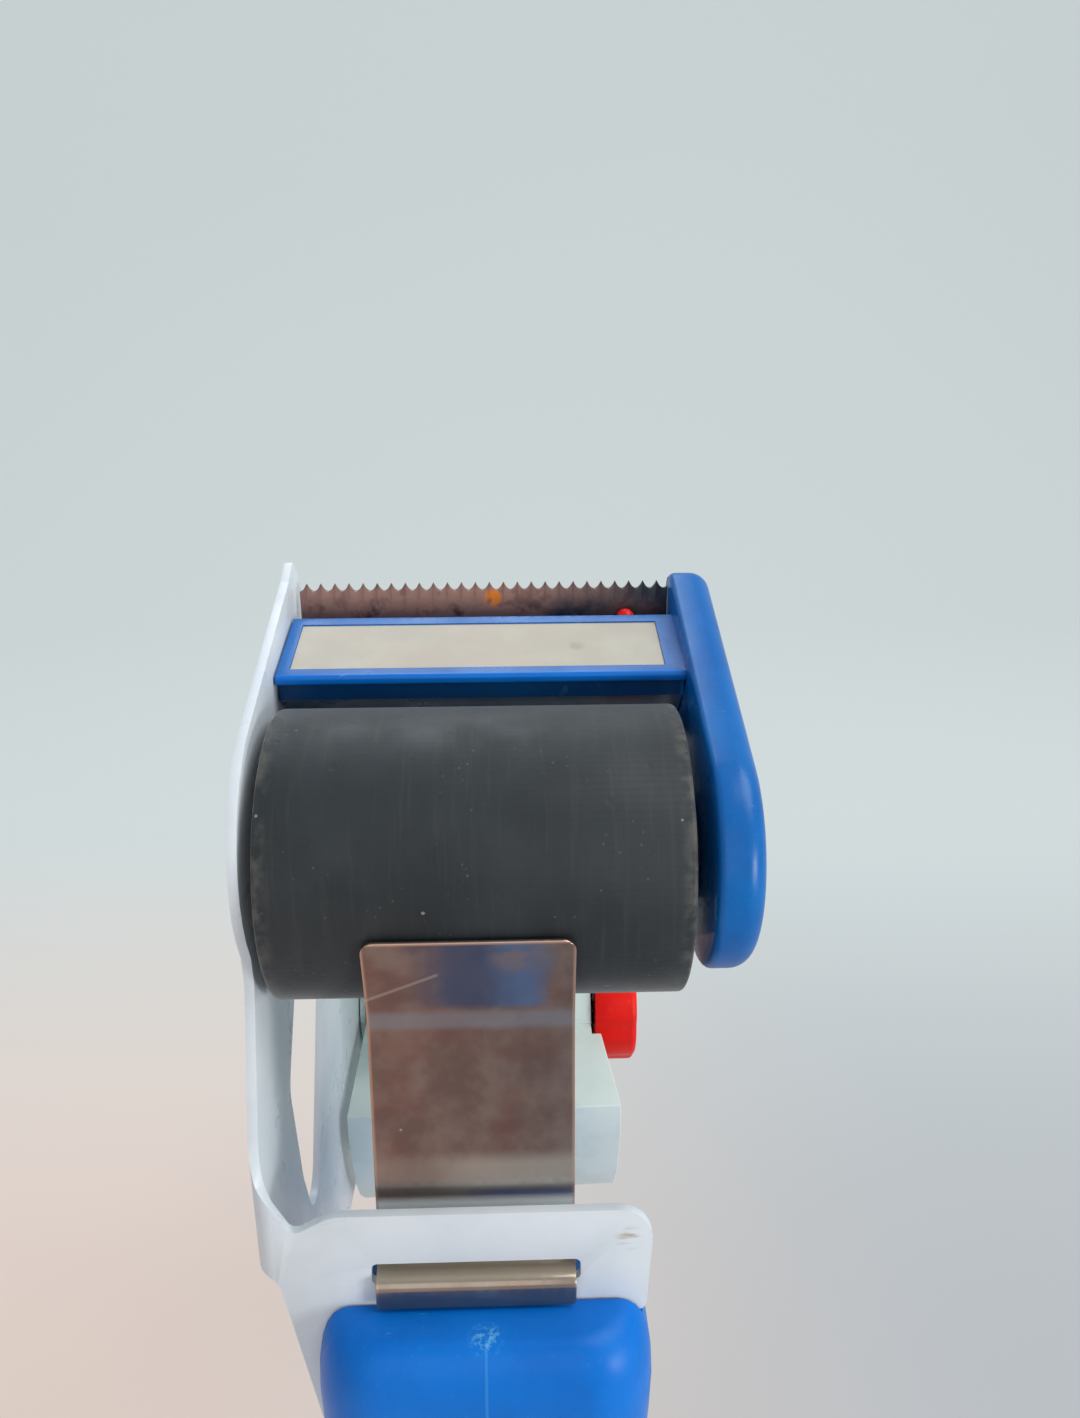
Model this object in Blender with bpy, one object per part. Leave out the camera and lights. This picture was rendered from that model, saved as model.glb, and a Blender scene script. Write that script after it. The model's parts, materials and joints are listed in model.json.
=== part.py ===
# Handheld dispenser for 50 mm packing tape: a bent steel frame, a moulded handle and cutter head,
# a rubber roller, a sprung hub with a brake, and a steel flap that holds the tape end on the roller.
#
# Metres, +Z up. The origin is the centre of the handle's flat butt. X runs along the roller and the
# hub, to the user's right as the roller is seen from the front, and the front faces -Y.
# Side outlines are written as (ahead, up) from the roller's axis, where ahead is -Y.

import bmesh
import bpy
import math
from mathutils import Vector

MM = 0.001
FULL_TURN = 2 * math.pi

# Clearances and fineness
GAP = 0.3 * MM
OVERRUN = 2.0 * MM
ARC_STEP = math.radians(10)
ROUND_STEPS = 40
SMALL_STEPS = 20

# Where the two axes lie
AXIS_HEIGHT = 170.0 * MM
AXIS_BACK = 17.5 * MM
HUB_BACK = 68.5 * MM
HUB_DROP = 67.5 * MM

# Roller
ROLLER_RADIUS = 18.6 * MM
ROLLER_LENGTH = 51.0 * MM
SLEEVE_WALL = 2.8 * MM
AXLE_RADIUS = 3.0 * MM
AXLE_HEAD_RADIUS = 5.5 * MM
AXLE_HEAD_THICKNESS = 1.6 * MM
BUSH_WALL = 2.7 * MM
BUSH_LENGTH = 8.0 * MM
BUSH_PROUD = 0.3 * MM
ROLLER_WASHER_RADIUS = 7.0 * MM
AXLE_SCREW_RADIUS = 1.5 * MM
AXLE_SCREW_HEAD_RADIUS = 4.0 * MM
AXLE_SCREW_HEAD_THICKNESS = 1.9 * MM
AXLE_SCREW_DEPTH = 8.0 * MM

# Steel frame
SHEET = 1.2 * MM
PLATE_TO_ROLLER = 1.7 * MM
BEND_RADIUS = 2.0 * MM
FLANGE_AHEAD = 22.0 * MM
LOBE_RADIUS = 18.0 * MM
LOBE_BACK = 1.3 * MM
LOBE_UP = 2.0 * MM
HUB_LOBE_RADIUS = 26.0 * MM
PLATE_TIP_ABOVE = 3.7 * MM
PLATE_NOSE_BACK = 24.9 * MM
PLATE_TIP_MARGIN = 6.0 * MM
PLATE_CORNER = 3.0 * MM
NECK_AHEAD = 13.9 * MM
NECK_DROP = 11.0 * MM
FOLD_TOP_DROP = 34.5 * MM
FLANGE_TOP = 38.8 * MM
FLANGE_NOTCH = 2.7 * MM
FLANGE_NOTCH_ACROSS = 2.2 * MM
FLANGE_RISE_ACROSS = 7.0 * MM
FLANGE_INSET = 4.2 * MM
FLANGE_TAPER = 0.8 * MM
FLANGE_CORNER = 4.5 * MM
FOLD_HEIGHT = 8.0 * MM
FLANGE_SUNK = 2.2 * MM
TANG_RIGHT = 15.0 * MM
TANG_LENGTH = 54.0 * MM
TANG_FOOT_LEFT = 15.5 * MM
TANG_CORNER = 4.0 * MM
PLATE_FOOT_BACK = 6.0 * MM
PLATE_FOOT_DROP = 91.0 * MM
PLATE_FOOT_CORNER = 14.0 * MM

# Opening in the frame's side, as shares of the distances from the roller's axis to the hub's
OPENING_SHARES = ((0.10, -0.37), (-0.02, -0.53), (0.03, -0.80), (0.13, -1.05), (0.50, -0.37))
OPENING_CORNER = 5.0 * MM

# Handle
HANDLE_WIDTH = 42.6 * MM
HANDLE_DEPTH = 28.0 * MM
HANDLE_TOP_DROP = 52.5 * MM
HANDLE_SHARES = (
    (0.000, 0.86, 0.84),
    (0.010, 0.93, 0.93),
    (0.030, 0.97, 0.98),
    (0.220, 0.98, 1.04),
    (0.500, 0.93, 0.95),
    (0.760, 0.96, 0.98),
    (0.905, 1.00, 1.00),
    (0.950, 0.98, 0.96),
    (0.980, 0.92, 0.86),
    (0.995, 0.82, 0.73),
    (1.000, 0.74, 0.64),
)
HANDLE_ROUND_POINTS = 32
HANDLE_SQUARENESS = 4.0
HANDLE_WALL = 4.0 * MM
HANDLE_FLOOR = 5.0 * MM
CAVITY_BELOW_TANG = 2.0 * MM
HANDLE_SCREW_UP = 12.0 * MM
HANDLE_SCREW_RADIUS = 1.6 * MM
HANDLE_SCREW_HEAD_RADIUS = 3.2 * MM
HANDLE_SCREW_HEAD_THICKNESS = 2.0 * MM
HANDLE_SCREW_REACH = 4.0 * MM
HANDLE_SCREW_SINK = 3.0 * MM

# Cutter head: the bar that the tape rests on and the guard on the right
BAR_BACK = 9.5 * MM
BAR_ABOVE_ROLLER = 2.2 * MM
BAR_DEPTH = 16.4 * MM
BAR_TILT = math.radians(15.2)
BAR_CLEARANCE = 2.0 * MM
BAR_BOTTOM_ANGLE = math.radians(155)
BAR_FOOT_BACK = 3.0 * MM
BAR_FOOT_DROP = 1.2 * MM
LIP_THICKNESS = 1.5 * MM
LIP_OVERHANG = 2.1 * MM
LIP_ROUND = 0.6 * MM
LEDGE_DEPTH = 3.6 * MM
LEDGE_DROP = 3.4 * MM
GUARD_THICKNESS = 5.9 * MM
GUARD_TO_ROLLER = 2.4 * MM
GUARD_LOBE_RADIUS = 15.3 * MM
GUARD_LOBE_AHEAD = 3.4 * MM
GUARD_LOBE_UP = 1.5 * MM
GUARD_TIP_RADIUS = 4.2 * MM
GUARD_TIP_ABOVE_BLADE = 1.7 * MM
GUARD_TIP_BEHIND_BLADE = 2.4 * MM
GUARD_ROUND_SHARES = (
    (0.00, 0.16),
    (0.06, 0.05),
    (0.16, 0.00),
    (0.52, 0.00),
    (0.76, 0.10),
    (0.92, 0.27),
    (1.00, 0.50),
)
LABEL_INSET = 0.5 * MM
LABEL_DEPTH = 11.5 * MM
LABEL_THICKNESS = 0.4 * MM
LABEL_SUNK = 0.2 * MM
LABEL_FROM_FRONT = 2.4 * MM
HEAD_SCREW_RADIUS = 1.6 * MM
HEAD_SCREW_HEAD_RADIUS = 3.0 * MM
HEAD_SCREW_HEAD_THICKNESS = 1.5 * MM
HEAD_SCREW_DEPTH = 9.0 * MM
HEAD_SCREW_BACKS = (7.5 * MM, 15.0 * MM)
HEAD_SCREW_DROP = 5.6 * MM

# Blade and its fastenings
BLADE_THICKNESS = 0.8 * MM
BLADE_ABOVE_BAR = 4.1 * MM
BLADE_HEIGHT = 19.0 * MM
TOOTH_COUNT = 26
TOOTH_HEIGHT = 1.2 * MM
TOOTH_VALLEY_SHARE = 0.16
BLADE_SCREW_INSET = 7.5 * MM
BLADE_SCREW_UP = 5.0 * MM
BLADE_SCREW_RADIUS = 1.3 * MM
BLADE_SCREW_HEAD_RADIUS = 2.6 * MM
BLADE_SCREW_HEAD_THICKNESS = 1.3 * MM
BLADE_SCREW_DEPTH = 5.0 * MM
PEG_INSET = 4.1 * MM
PEG_RADIUS = 1.35 * MM
PEG_ABOVE_BAR = 0.4 * MM
PEG_DEPTH = 4.0 * MM

# Flap
FLAP_WIDTH = 25.0 * MM
FLAP_CENTRE = 1.0 * MM
FLAP_THICKNESS = 0.5 * MM
FLAP_CORNER = 1.6 * MM
FLAP_SLOT_DROP = 47.8 * MM
FLAP_SLOT_HEIGHT = 3.2 * MM
FLAP_LIP_AHEAD = 1.3 * MM
FLAP_LIP_DROP = 4.1 * MM
FLAP_BEHIND = 2.1 * MM
FLAP_HOOK = 1.1 * MM
FLAP_RISE = 8.4 * MM
FLAP_BEND_AHEAD = 16.7 * MM
FLAP_BEND_DROP = 13.4 * MM
FLAP_BEND_RADIUS = 7.0 * MM
FLAP_TIP_DROP = 2.4 * MM

# Hub and brake
CORE_RADIUS = 38.0 * MM
HUB_INSET = 2.2 * MM
HUB_TAPER = 1.6 * MM
HUB_DISH = 3.3 * MM
POCKET_CLEARANCE = 0.8 * MM
HUB_BOSS_RADIUS = 9.5 * MM
WING_COUNT = 4
WING_THICKNESS = 2.0 * MM
PAD_THICKNESS = 2.3 * MM
PAD_SWEEP = math.radians(48)
HUB_AXLE_RADIUS = 4.0 * MM
HUB_AXLE_HEAD_RADIUS = 7.0 * MM
HUB_AXLE_HEAD_THICKNESS = 2.4 * MM
HUB_WASHER_THICKNESS = 1.0 * MM
HUB_WASHER_RADIUS = 8.5 * MM
BRAKE_SPACE = 11.8 * MM
FRICTION_THICKNESS = 1.5 * MM
FRICTION_RADIUS = 9.2 * MM
PRESSURE_THICKNESS = 1.2 * MM
PRESSURE_RADIUS = 8.8 * MM
SPRING_LENGTH = 7.4 * MM
SPRING_RADIUS = 5.6 * MM
SPRING_WIRE = 1.0 * MM
SPRING_TURNS = 3.5
SPRING_CURL_POINTS = 10
THRUST_THICKNESS = 1.0 * MM
NUT_THICKNESS = 1.9 * MM
NUT_RADIUS = 6.0 * MM
KNOB_RADIUS = 13.0 * MM
KNOB_LENGTH = 8.4 * MM
KNOB_FACE_WALL = 1.0 * MM
KNOB_RECESS_WALL = 4.6 * MM
KNOB_SCALLOPS = 8
KNOB_SCALLOP_SHARE = 0.045
KNOB_ROUND_POINTS = 64
KNOB_ROUND_SHARES = ((0.00, 0.97), (0.06, 1.00), (0.80, 1.00), (0.93, 0.96), (1.00, 0.88))
KNOB_CLEARANCE = 2.0 * MM
THREAD_PITCH = 1.25 * MM
KNOB_TURNS_EACH_WAY = 0.5

# Places worked out from the sizes above
ROLLER_AXIS = Vector((0, AXIS_BACK, AXIS_HEIGHT))
HUB_AXIS = ROLLER_AXIS + Vector((0, HUB_BACK, -HUB_DROP))
ROLLER_LEFT = -ROLLER_LENGTH / 2
ROLLER_RIGHT = ROLLER_LENGTH / 2
PLATE_INNER = ROLLER_LEFT - PLATE_TO_ROLLER
PLATE_OUTER = PLATE_INNER - SHEET
GUARD_INNER = ROLLER_RIGHT + GUARD_TO_ROLLER
GUARD_OUTER = GUARD_INNER + GUARD_THICKNESS
HEAD_LEFT = PLATE_INNER + GAP
FLANGE_RIGHT = ROLLER_RIGHT - FLANGE_INSET
LABEL_HALF = ROLLER_LENGTH / 2 - LABEL_INSET
BLADE_SCREW_ACROSS = ROLLER_LENGTH / 2 - BLADE_SCREW_INSET
PEG_RIGHT = ROLLER_RIGHT - PEG_INSET
HUB_RIGHT = ROLLER_RIGHT - HUB_INSET
BOSS_RIGHT = HUB_RIGHT - BRAKE_SPACE
BAR_TOP = ROLLER_RADIUS + BAR_ABOVE_ROLLER
BAR_REAR_BACK = BAR_BACK + BAR_DEPTH * math.cos(BAR_TILT)
BAR_REAR_TOP = BAR_TOP + BAR_DEPTH * math.sin(BAR_TILT)
REAR_WALL_BACK = BAR_REAR_BACK + LEDGE_DEPTH
BLADE_FRONT_BACK = REAR_WALL_BACK + GAP
BLADE_REAR_BACK = BLADE_FRONT_BACK + BLADE_THICKNESS
BLADE_TOP = BAR_REAR_TOP + BLADE_ABOVE_BAR
BLADE_FOOT = BLADE_TOP - BLADE_HEIGHT
BEND_AHEAD = FLANGE_AHEAD - SHEET / 2 - BEND_RADIUS
BEND_ACROSS = PLATE_OUTER + SHEET / 2 + BEND_RADIUS
BEND_LENGTH = BEND_RADIUS * math.pi / 2
HANDLE_TOP = AXIS_HEIGHT - HANDLE_TOP_DROP
TANG_FOOT_DROP = HANDLE_TOP_DROP + TANG_LENGTH
HUB_LEFT = PLATE_INNER + GAP + HUB_WASHER_THICKNESS + GAP
FRICTION_LEFT = BOSS_RIGHT + GAP
PRESSURE_LEFT = FRICTION_LEFT + FRICTION_THICKNESS + GAP
SPRING_LEFT = PRESSURE_LEFT + PRESSURE_THICKNESS + GAP
THRUST_LEFT = SPRING_LEFT + SPRING_LENGTH + GAP
RECESS_END = THRUST_LEFT + THRUST_THICKNESS + GAP
NUT_LEFT = RECESS_END + GAP
POCKET_END = NUT_LEFT + NUT_THICKNESS + GAP
HUB_AXLE_END = POCKET_END + GAP
KNOB_TRAVEL = THREAD_PITCH * KNOB_TURNS_EACH_WAY
KNOB_BORE_END = HUB_AXLE_END + GAP + KNOB_TRAVEL
KNOB_RIGHT = KNOB_BORE_END + KNOB_FACE_WALL
KNOB_LEFT = KNOB_RIGHT - KNOB_LENGTH
THRUST_RADIUS = KNOB_RADIUS - KNOB_RECESS_WALL - 2 * GAP
HEAD_SCREW_UPS = tuple(BAR_TOP + back * math.tan(BAR_TILT) - HEAD_SCREW_DROP for back in HEAD_SCREW_BACKS)


def material(name, colour, roughness, metallic=0.0):
    """A Principled material with one colour."""
    made = bpy.data.materials.new(name)
    made.use_nodes = True
    shader = made.node_tree.nodes["Principled BSDF"]
    shader.inputs["Base Color"].default_value = (*colour, 1.0)
    shader.inputs["Roughness"].default_value = roughness
    shader.inputs["Metallic"].default_value = metallic
    return made


def from_side(ahead, up, across):
    """A side outline's point, placed across the dispenser."""
    return Vector((across, -ahead, up))


def from_front(across, up, ahead):
    """A front outline's point, placed along the dispenser."""
    return Vector((across, -ahead, up))


def arc(centre, radius, start, end):
    """Points on an arc from one angle to another, both included."""
    steps = max(2, math.ceil(abs(end - start) / ARC_STEP))
    angles = [start + (end - start) * step / steps for step in range(steps + 1)]
    return [(centre[0] + radius * math.cos(a), centre[1] + radius * math.sin(a)) for a in angles]


def filleted(corners):
    """Outline points of corners given as (a, b, radius), each rounded by its own radius."""
    points = []
    for index, (a, b, radius) in enumerate(corners):
        here = Vector((a, b))
        if radius == 0:
            points.append((a, b))
            continue
        before = (Vector(corners[index - 1][:2]) - here).normalized()
        after = (Vector(corners[(index + 1) % len(corners)][:2]) - here).normalized()
        half = before.angle(after) / 2
        centre = here + (before + after).normalized() * radius / math.sin(half)
        start = here + before * radius / math.tan(half) - centre
        end = here + after * radius / math.tan(half) - centre
        first = math.atan2(start.y, start.x)
        turn = math.remainder(math.atan2(end.y, end.x) - first, FULL_TURN)
        points += arc(centre, radius, first, first + turn)
    return points


def plain(points):
    """Corners without rounding."""
    return [(a, b, 0) for a, b in points]


def flat_sheet(outline, holes=()):
    """A flat face with holes, in the plane z = 0."""
    mesh = bmesh.new()
    edges = []
    for loop in (outline, *holes):
        verts = [mesh.verts.new((a, b, 0)) for a, b in loop]
        edges += [mesh.edges.new((verts[index - 1], vert)) for index, vert in enumerate(verts)]
    bmesh.ops.triangle_fill(mesh, use_beauty=True, use_dissolve=False, edges=edges)
    return mesh


def thicken(mesh, place_near, place_far):
    """Turns a flat sheet into a closed body between two placings of its points."""
    made = bmesh.ops.extrude_face_region(mesh, geom=mesh.faces[:])
    far = {item for item in made["geom"] if isinstance(item, bmesh.types.BMVert)}
    for vert in mesh.verts:
        place = place_far if vert in far else place_near
        vert.co = place(vert.co.x, vert.co.y)
    bmesh.ops.recalc_face_normals(mesh, faces=mesh.faces[:])
    return mesh


def slab(outline, near, far, placing=from_side, holes=()):
    """An outline with a straight thickness."""
    return thicken(
        flat_sheet(outline, holes),
        lambda a, b: placing(a, b, near),
        lambda a, b: placing(a, b, far),
    )


def stations(path):
    """Length along a path up to each of its points."""
    lengths = [0.0]
    for before, after in zip(path, path[1:]):
        lengths.append(lengths[-1] + (Vector(after) - Vector(before)).length)
    return lengths


def formed_sheet(outline, holes, path, start, thickness, placing):
    """A flat blank bent along a path: the outline's first value runs along the path from its start."""
    lengths = [start + length for length in stations(path)]
    blank = flat_sheet(outline, holes)
    for length in lengths[1:-1]:
        geometry = blank.verts[:] + blank.edges[:] + blank.faces[:]
        bmesh.ops.bisect_plane(
            blank, geom=geometry, dist=GAP / 1000, plane_co=(length, 0, 0), plane_no=(1, 0, 0)
        )
    runs = [(Vector(b) - Vector(a)).normalized() for a, b in zip(path, path[1:])]

    def bent(offset, along, level):
        index = 0
        while index < len(runs) - 1 and along > lengths[index + 1] + GAP / 1000:
            index += 1
        run = runs[index]
        normal = Vector((-run.y, run.x))
        point = Vector(path[index]) + run * (along - lengths[index])
        if index + 1 < len(runs) and abs(along - lengths[index + 1]) < GAP / 100:
            following = Vector((-runs[index + 1].y, runs[index + 1].x))
            mitre = (normal + following).normalized()
            normal = mitre / mitre.dot(normal)
        point += normal * offset
        return placing(point.x, point.y, level)

    return thicken(
        blank,
        lambda along, level: bent(-thickness / 2, along, level),
        lambda along, level: bent(thickness / 2, along, level),
    )


def turned(profile, steps=SMALL_STEPS, axis="X"):
    """A body turned from a closed profile of (along the axis, radius) points."""
    mesh = bmesh.new()
    rings = []
    for along, radius in profile:
        angles = [FULL_TURN * step / steps for step in range(steps)] if radius else [0.0]
        ring = []
        for angle in angles:
            side = radius * math.cos(angle)
            rise = radius * math.sin(angle)
            point = {"X": (along, side, rise), "Y": (side, along, rise), "Z": (side, rise, along)}[axis]
            ring.append(mesh.verts.new(point))
        rings.append(ring)
    for index, ring in enumerate(rings):
        join_rings(mesh, rings[index - 1], ring)
    bmesh.ops.recalc_face_normals(mesh, faces=mesh.faces[:])
    return mesh


def join_rings(mesh, one, other):
    """Faces between two rings, either of which may be a single point on the axis."""
    if len(one) == 1 and len(other) == 1:
        return
    count = max(len(one), len(other))
    for step in range(count):
        after = (step + 1) % count
        corners = [one[step % len(one)], one[after % len(one)], other[after % len(other)], other[step % len(other)]]
        mesh.faces.new(list(dict.fromkeys(corners)))


def disc(left, right, radius, bore=0.0):
    """Profile of a disc or, with a bore, of a washer."""
    return [(left, bore), (left, radius), (right, radius), (right, bore)]


def lofted(rings):
    """A body through rings of equally many points, with flat ends."""
    mesh = bmesh.new()
    made = [[mesh.verts.new(point) for point in ring] for ring in rings]
    for one, other in zip(made, made[1:]):
        join_rings(mesh, one, other)
    mesh.faces.new(made[0])
    mesh.faces.new(made[-1])
    bmesh.ops.recalc_face_normals(mesh, faces=mesh.faces[:])
    return mesh


def body(name, mesh, looks, place=(0, 0, 0), smooth_below=math.radians(35)):
    """An object from a built mesh, its origin at the given place."""
    data = bpy.data.meshes.new(name)
    mesh.to_mesh(data)
    mesh.free()
    data.materials.append(looks)
    data.shade_smooth()
    data.set_sharp_from_angle(angle=smooth_below)
    made = bpy.data.objects.new(name, data)
    made.location = place
    bpy.context.scene.collection.objects.link(made)
    return made


def combine(target, name, mesh, operation="DIFFERENCE"):
    """Cuts a mesh out of an object, or joins it on, with a Boolean modifier."""
    tool = body(name, mesh, target.data.materials[0], target.location)
    tool.hide_render = True
    tool.display_type = "WIRE"
    modifier = target.modifiers.new(name, "BOOLEAN")
    modifier.operation = operation
    modifier.solver = "EXACT"
    modifier.object = tool


def screw_profile(head_start, head_radius, head_thickness, radius, tip, direction):
    """A pan-head screw: the head starts at head_start and the shank runs on to the tip."""
    seat = head_start + direction * head_thickness
    soft = head_radius - head_thickness / 3
    shoulder = head_start + direction * head_thickness / 3
    point = tip - direction * radius / 2
    return [
        (head_start, 0),
        (head_start, soft),
        (shoulder, head_radius),
        (seat, head_radius),
        (seat, radius),
        (point, radius),
        (tip, radius / 2),
        (tip, 0),
    ]


def circle(centre, radius, steps=SMALL_STEPS):
    """A round hole's outline."""
    return [
        (centre[0] + radius * math.cos(FULL_TURN * s / steps), centre[1] + radius * math.sin(FULL_TURN * s / steps))
        for s in range(steps)
    ]


def lobe_tangent(point):
    """Angles on the hub's lobe where lines from a point touch it: the rear one and the lower one."""
    reach = Vector((point[0] + HUB_BACK, point[1] + HUB_DROP))
    facing = math.atan2(reach.y, reach.x)
    spread = math.acos(HUB_LOBE_RADIUS / reach.length)
    return facing + spread, facing - spread


def blank_side(ahead):
    """Place on the frame's flat blank of a point on its side plate."""
    return ahead - BEND_AHEAD


def blank_front(across):
    """Place on the frame's flat blank of a point on its flange."""
    return BEND_LENGTH + across - BEND_ACROSS


def frame_blank():
    """Outline of the flat steel blank, side plate first."""
    rear = (-(BLADE_REAR_BACK + PLATE_TIP_MARGIN), BAR_REAR_TOP)
    foot = (-PLATE_FOOT_BACK, -PLATE_FOOT_DROP)
    tip = BLADE_TOP + PLATE_TIP_ABOVE
    rear_touch = lobe_tangent(rear)[0]
    foot_touch = lobe_tangent(foot)[1] + FULL_TURN
    lobe = arc((-LOBE_BACK, LOBE_UP), LOBE_RADIUS, math.radians(-30), math.radians(64))
    hub_lobe = arc((-HUB_BACK, -HUB_DROP), HUB_LOBE_RADIUS, rear_touch, foot_touch)
    fold_foot = FLANGE_TOP + FOLD_HEIGHT
    shoulder = HANDLE_TOP_DROP + FLANGE_SUNK
    side = [
        *plain(lobe),
        (-PLATE_NOSE_BACK, BLADE_TOP + PLATE_TIP_ABOVE / 3, PLATE_CORNER),
        (-BLADE_FRONT_BACK, tip, PLATE_CORNER / 2),
        (*rear, PLATE_CORNER * 2),
        *plain(hub_lobe),
        (*foot, PLATE_FOOT_CORNER),
        (BEND_AHEAD - OVERRUN, -fold_foot, PLATE_CORNER),
    ]
    front = [
        (BEND_ACROSS, -fold_foot - SHEET, PLATE_CORNER),
        (-TANG_FOOT_LEFT, -TANG_FOOT_DROP, TANG_CORNER),
        (TANG_RIGHT, -TANG_FOOT_DROP, TANG_CORNER),
        (TANG_RIGHT, -shoulder, 0),
        (FLANGE_RIGHT - FLANGE_TAPER, -shoulder, SHEET),
        (FLANGE_RIGHT, -FLANGE_TOP, FLANGE_CORNER),
        (BEND_ACROSS + FLANGE_RISE_ACROSS, -FLANGE_TOP, FLANGE_CORNER),
        (BEND_ACROSS + FLANGE_NOTCH_ACROSS, -FLANGE_TOP - FLANGE_NOTCH, SHEET),
    ]
    corners = [(blank_side(a), u, r) for a, u, r in side]
    corners += [(blank_front(x), u, r) for x, u, r in front]
    corners.append((BEND_LENGTH / 2, -FOLD_TOP_DROP, PLATE_CORNER))
    corners.append((blank_side(NECK_AHEAD), -NECK_DROP, PLATE_CORNER * 2))
    return filleted(corners)


def frame_holes():
    """Holes in the flat blank: the opening, the slot, the axles and the head's screws."""
    opening = filleted(
        [
            (blank_side(-HUB_BACK * back), HUB_DROP * up, OPENING_CORNER)
            for back, up in OPENING_SHARES
        ]
    )
    half_slot = FLAP_WIDTH / 2 + 2 * GAP
    half_height = FLAP_SLOT_HEIGHT / 2
    slot = filleted(
        [
            (blank_front(-FLAP_CENTRE + side * half_slot), -FLAP_SLOT_DROP + up * half_height, half_height / 2)
            for side, up in ((-1, -1), (1, -1), (1, 1), (-1, 1))
        ]
    )
    screws = [
        circle((blank_side(-BAR_BACK - back), up), HEAD_SCREW_RADIUS + GAP)
        for back, up in zip(HEAD_SCREW_BACKS, HEAD_SCREW_UPS)
    ]
    return [
        opening,
        slot,
        circle((blank_side(0), 0), AXLE_RADIUS + GAP),
        circle((blank_side(-HUB_BACK), -HUB_DROP), HUB_AXLE_RADIUS + GAP),
        circle((blank_front(0), HANDLE_SCREW_UP - TANG_FOOT_DROP), HANDLE_SCREW_RADIUS + GAP),
        *screws,
    ]


def make_frame(looks):
    """The frame, bent from one blank: side plate, fold, front flange and tang."""
    reach = HUB_BACK + HUB_LOBE_RADIUS + BEND_AHEAD + OVERRUN
    centre = (BEND_ACROSS, BEND_AHEAD)
    fold = arc(centre, BEND_RADIUS, math.pi, math.pi / 2)
    middle = PLATE_OUTER + SHEET / 2
    path = [(middle, BEND_AHEAD - reach), *fold, (FLANGE_RIGHT + OVERRUN, FLANGE_AHEAD - SHEET / 2)]
    blank = frame_blank()
    scale = stations(path)[len(fold)] - reach
    stretch = scale / BEND_LENGTH
    squeeze = [shrink_fold(points, stretch) for points in (blank, *frame_holes())]
    mesh = formed_sheet(
        squeeze[0],
        squeeze[1:],
        path,
        -reach,
        SHEET,
        lambda across, ahead, up: Vector((across, -ahead, up)),
    )
    return body("frame_plate", mesh, looks, ROLLER_AXIS)


def shrink_fold(points, stretch):
    """Fits blank places to the faceted fold, which is a little shorter than the true arc."""
    fitted = []
    for along, up in points:
        inside = min(max(along, 0), BEND_LENGTH)
        fitted.append((along - inside + inside * stretch, up))
    return fitted


def handle_ring(height_share, width_share, depth_share):
    """One level of the handle: a rounded rectangle."""
    ring = []
    for step in range(HANDLE_ROUND_POINTS):
        angle = FULL_TURN * (step + 0.5) / HANDLE_ROUND_POINTS
        cosine = math.cos(angle)
        sine = math.sin(angle)
        size = (abs(cosine) ** HANDLE_SQUARENESS + abs(sine) ** HANDLE_SQUARENESS) ** (-1 / HANDLE_SQUARENESS)
        across = cosine * size * width_share * HANDLE_WIDTH / 2
        along = sine * size * depth_share * HANDLE_DEPTH / 2
        ring.append(Vector((across, along, height_share * HANDLE_TOP)))
    return ring


def tang_slot():
    """Outline of the handle's slot: the tang with clearance, open at the top and on the left."""
    left = BEND_ACROSS - OVERRUN - GAP
    foot = -TANG_FOOT_DROP - CAVITY_BELOW_TANG
    above = -HANDLE_TOP_DROP + OVERRUN
    return [
        (left - SHEET, above),
        (left - SHEET, -HANDLE_TOP_DROP),
        (-TANG_FOOT_LEFT - OVERRUN, foot),
        (TANG_RIGHT + GAP, foot),
        (TANG_RIGHT + GAP, -HANDLE_TOP_DROP - FLANGE_SUNK - GAP),
        (FLANGE_RIGHT + GAP, -HANDLE_TOP_DROP - FLANGE_SUNK - GAP),
        (FLANGE_RIGHT + GAP, above),
    ]


def handle_screw_height():
    """Height of the handle's screw above the butt."""
    return AXIS_HEIGHT - TANG_FOOT_DROP + HANDLE_SCREW_UP


def make_handle(looks):
    """The moulded handle, with a slot for the tang, a hollow below it and a hole for its screw."""
    handle = body("handle_grip", lofted([handle_ring(*shares) for shares in HANDLE_SHARES]), looks)
    tang_rear = FLANGE_AHEAD - SHEET - GAP - AXIS_BACK
    tang_front = FLANGE_AHEAD + GAP - AXIS_BACK
    slot = [(across, up + AXIS_HEIGHT) for across, up in tang_slot()]
    combine(handle, "slot_cutter", slab(slot, tang_rear, tang_front, from_front))
    roof = AXIS_HEIGHT - TANG_FOOT_DROP - SHEET
    half_width = HANDLE_WIDTH / 2 - 2 * HANDLE_WALL
    half_depth = HANDLE_DEPTH / 2 - HANDLE_WALL
    hollow = filleted([(s * half_width, h, HANDLE_WALL) for s, h in hollow_corners(roof)])
    combine(handle, "hollow_cutter", slab(hollow, -half_depth, half_depth, from_front))
    bore = screw_profile(
        HANDLE_DEPTH,
        HANDLE_SCREW_HEAD_RADIUS + GAP,
        HANDLE_DEPTH / 2 + HANDLE_SCREW_SINK,
        HANDLE_SCREW_RADIUS + GAP,
        AXIS_BACK - FLANGE_AHEAD - HANDLE_SCREW_REACH - 2 * GAP,
        -1,
    )
    cutter = turned(bore, axis="Y")
    bmesh.ops.translate(cutter, verts=cutter.verts[:], vec=(0, 0, handle_screw_height()))
    combine(handle, "screw_cutter", cutter)
    return handle


def hollow_corners(roof):
    """Sides and levels of the handle's hollow."""
    return ((-1, HANDLE_FLOOR), (1, HANDLE_FLOOR), (1, roof), (-1, roof))


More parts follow.
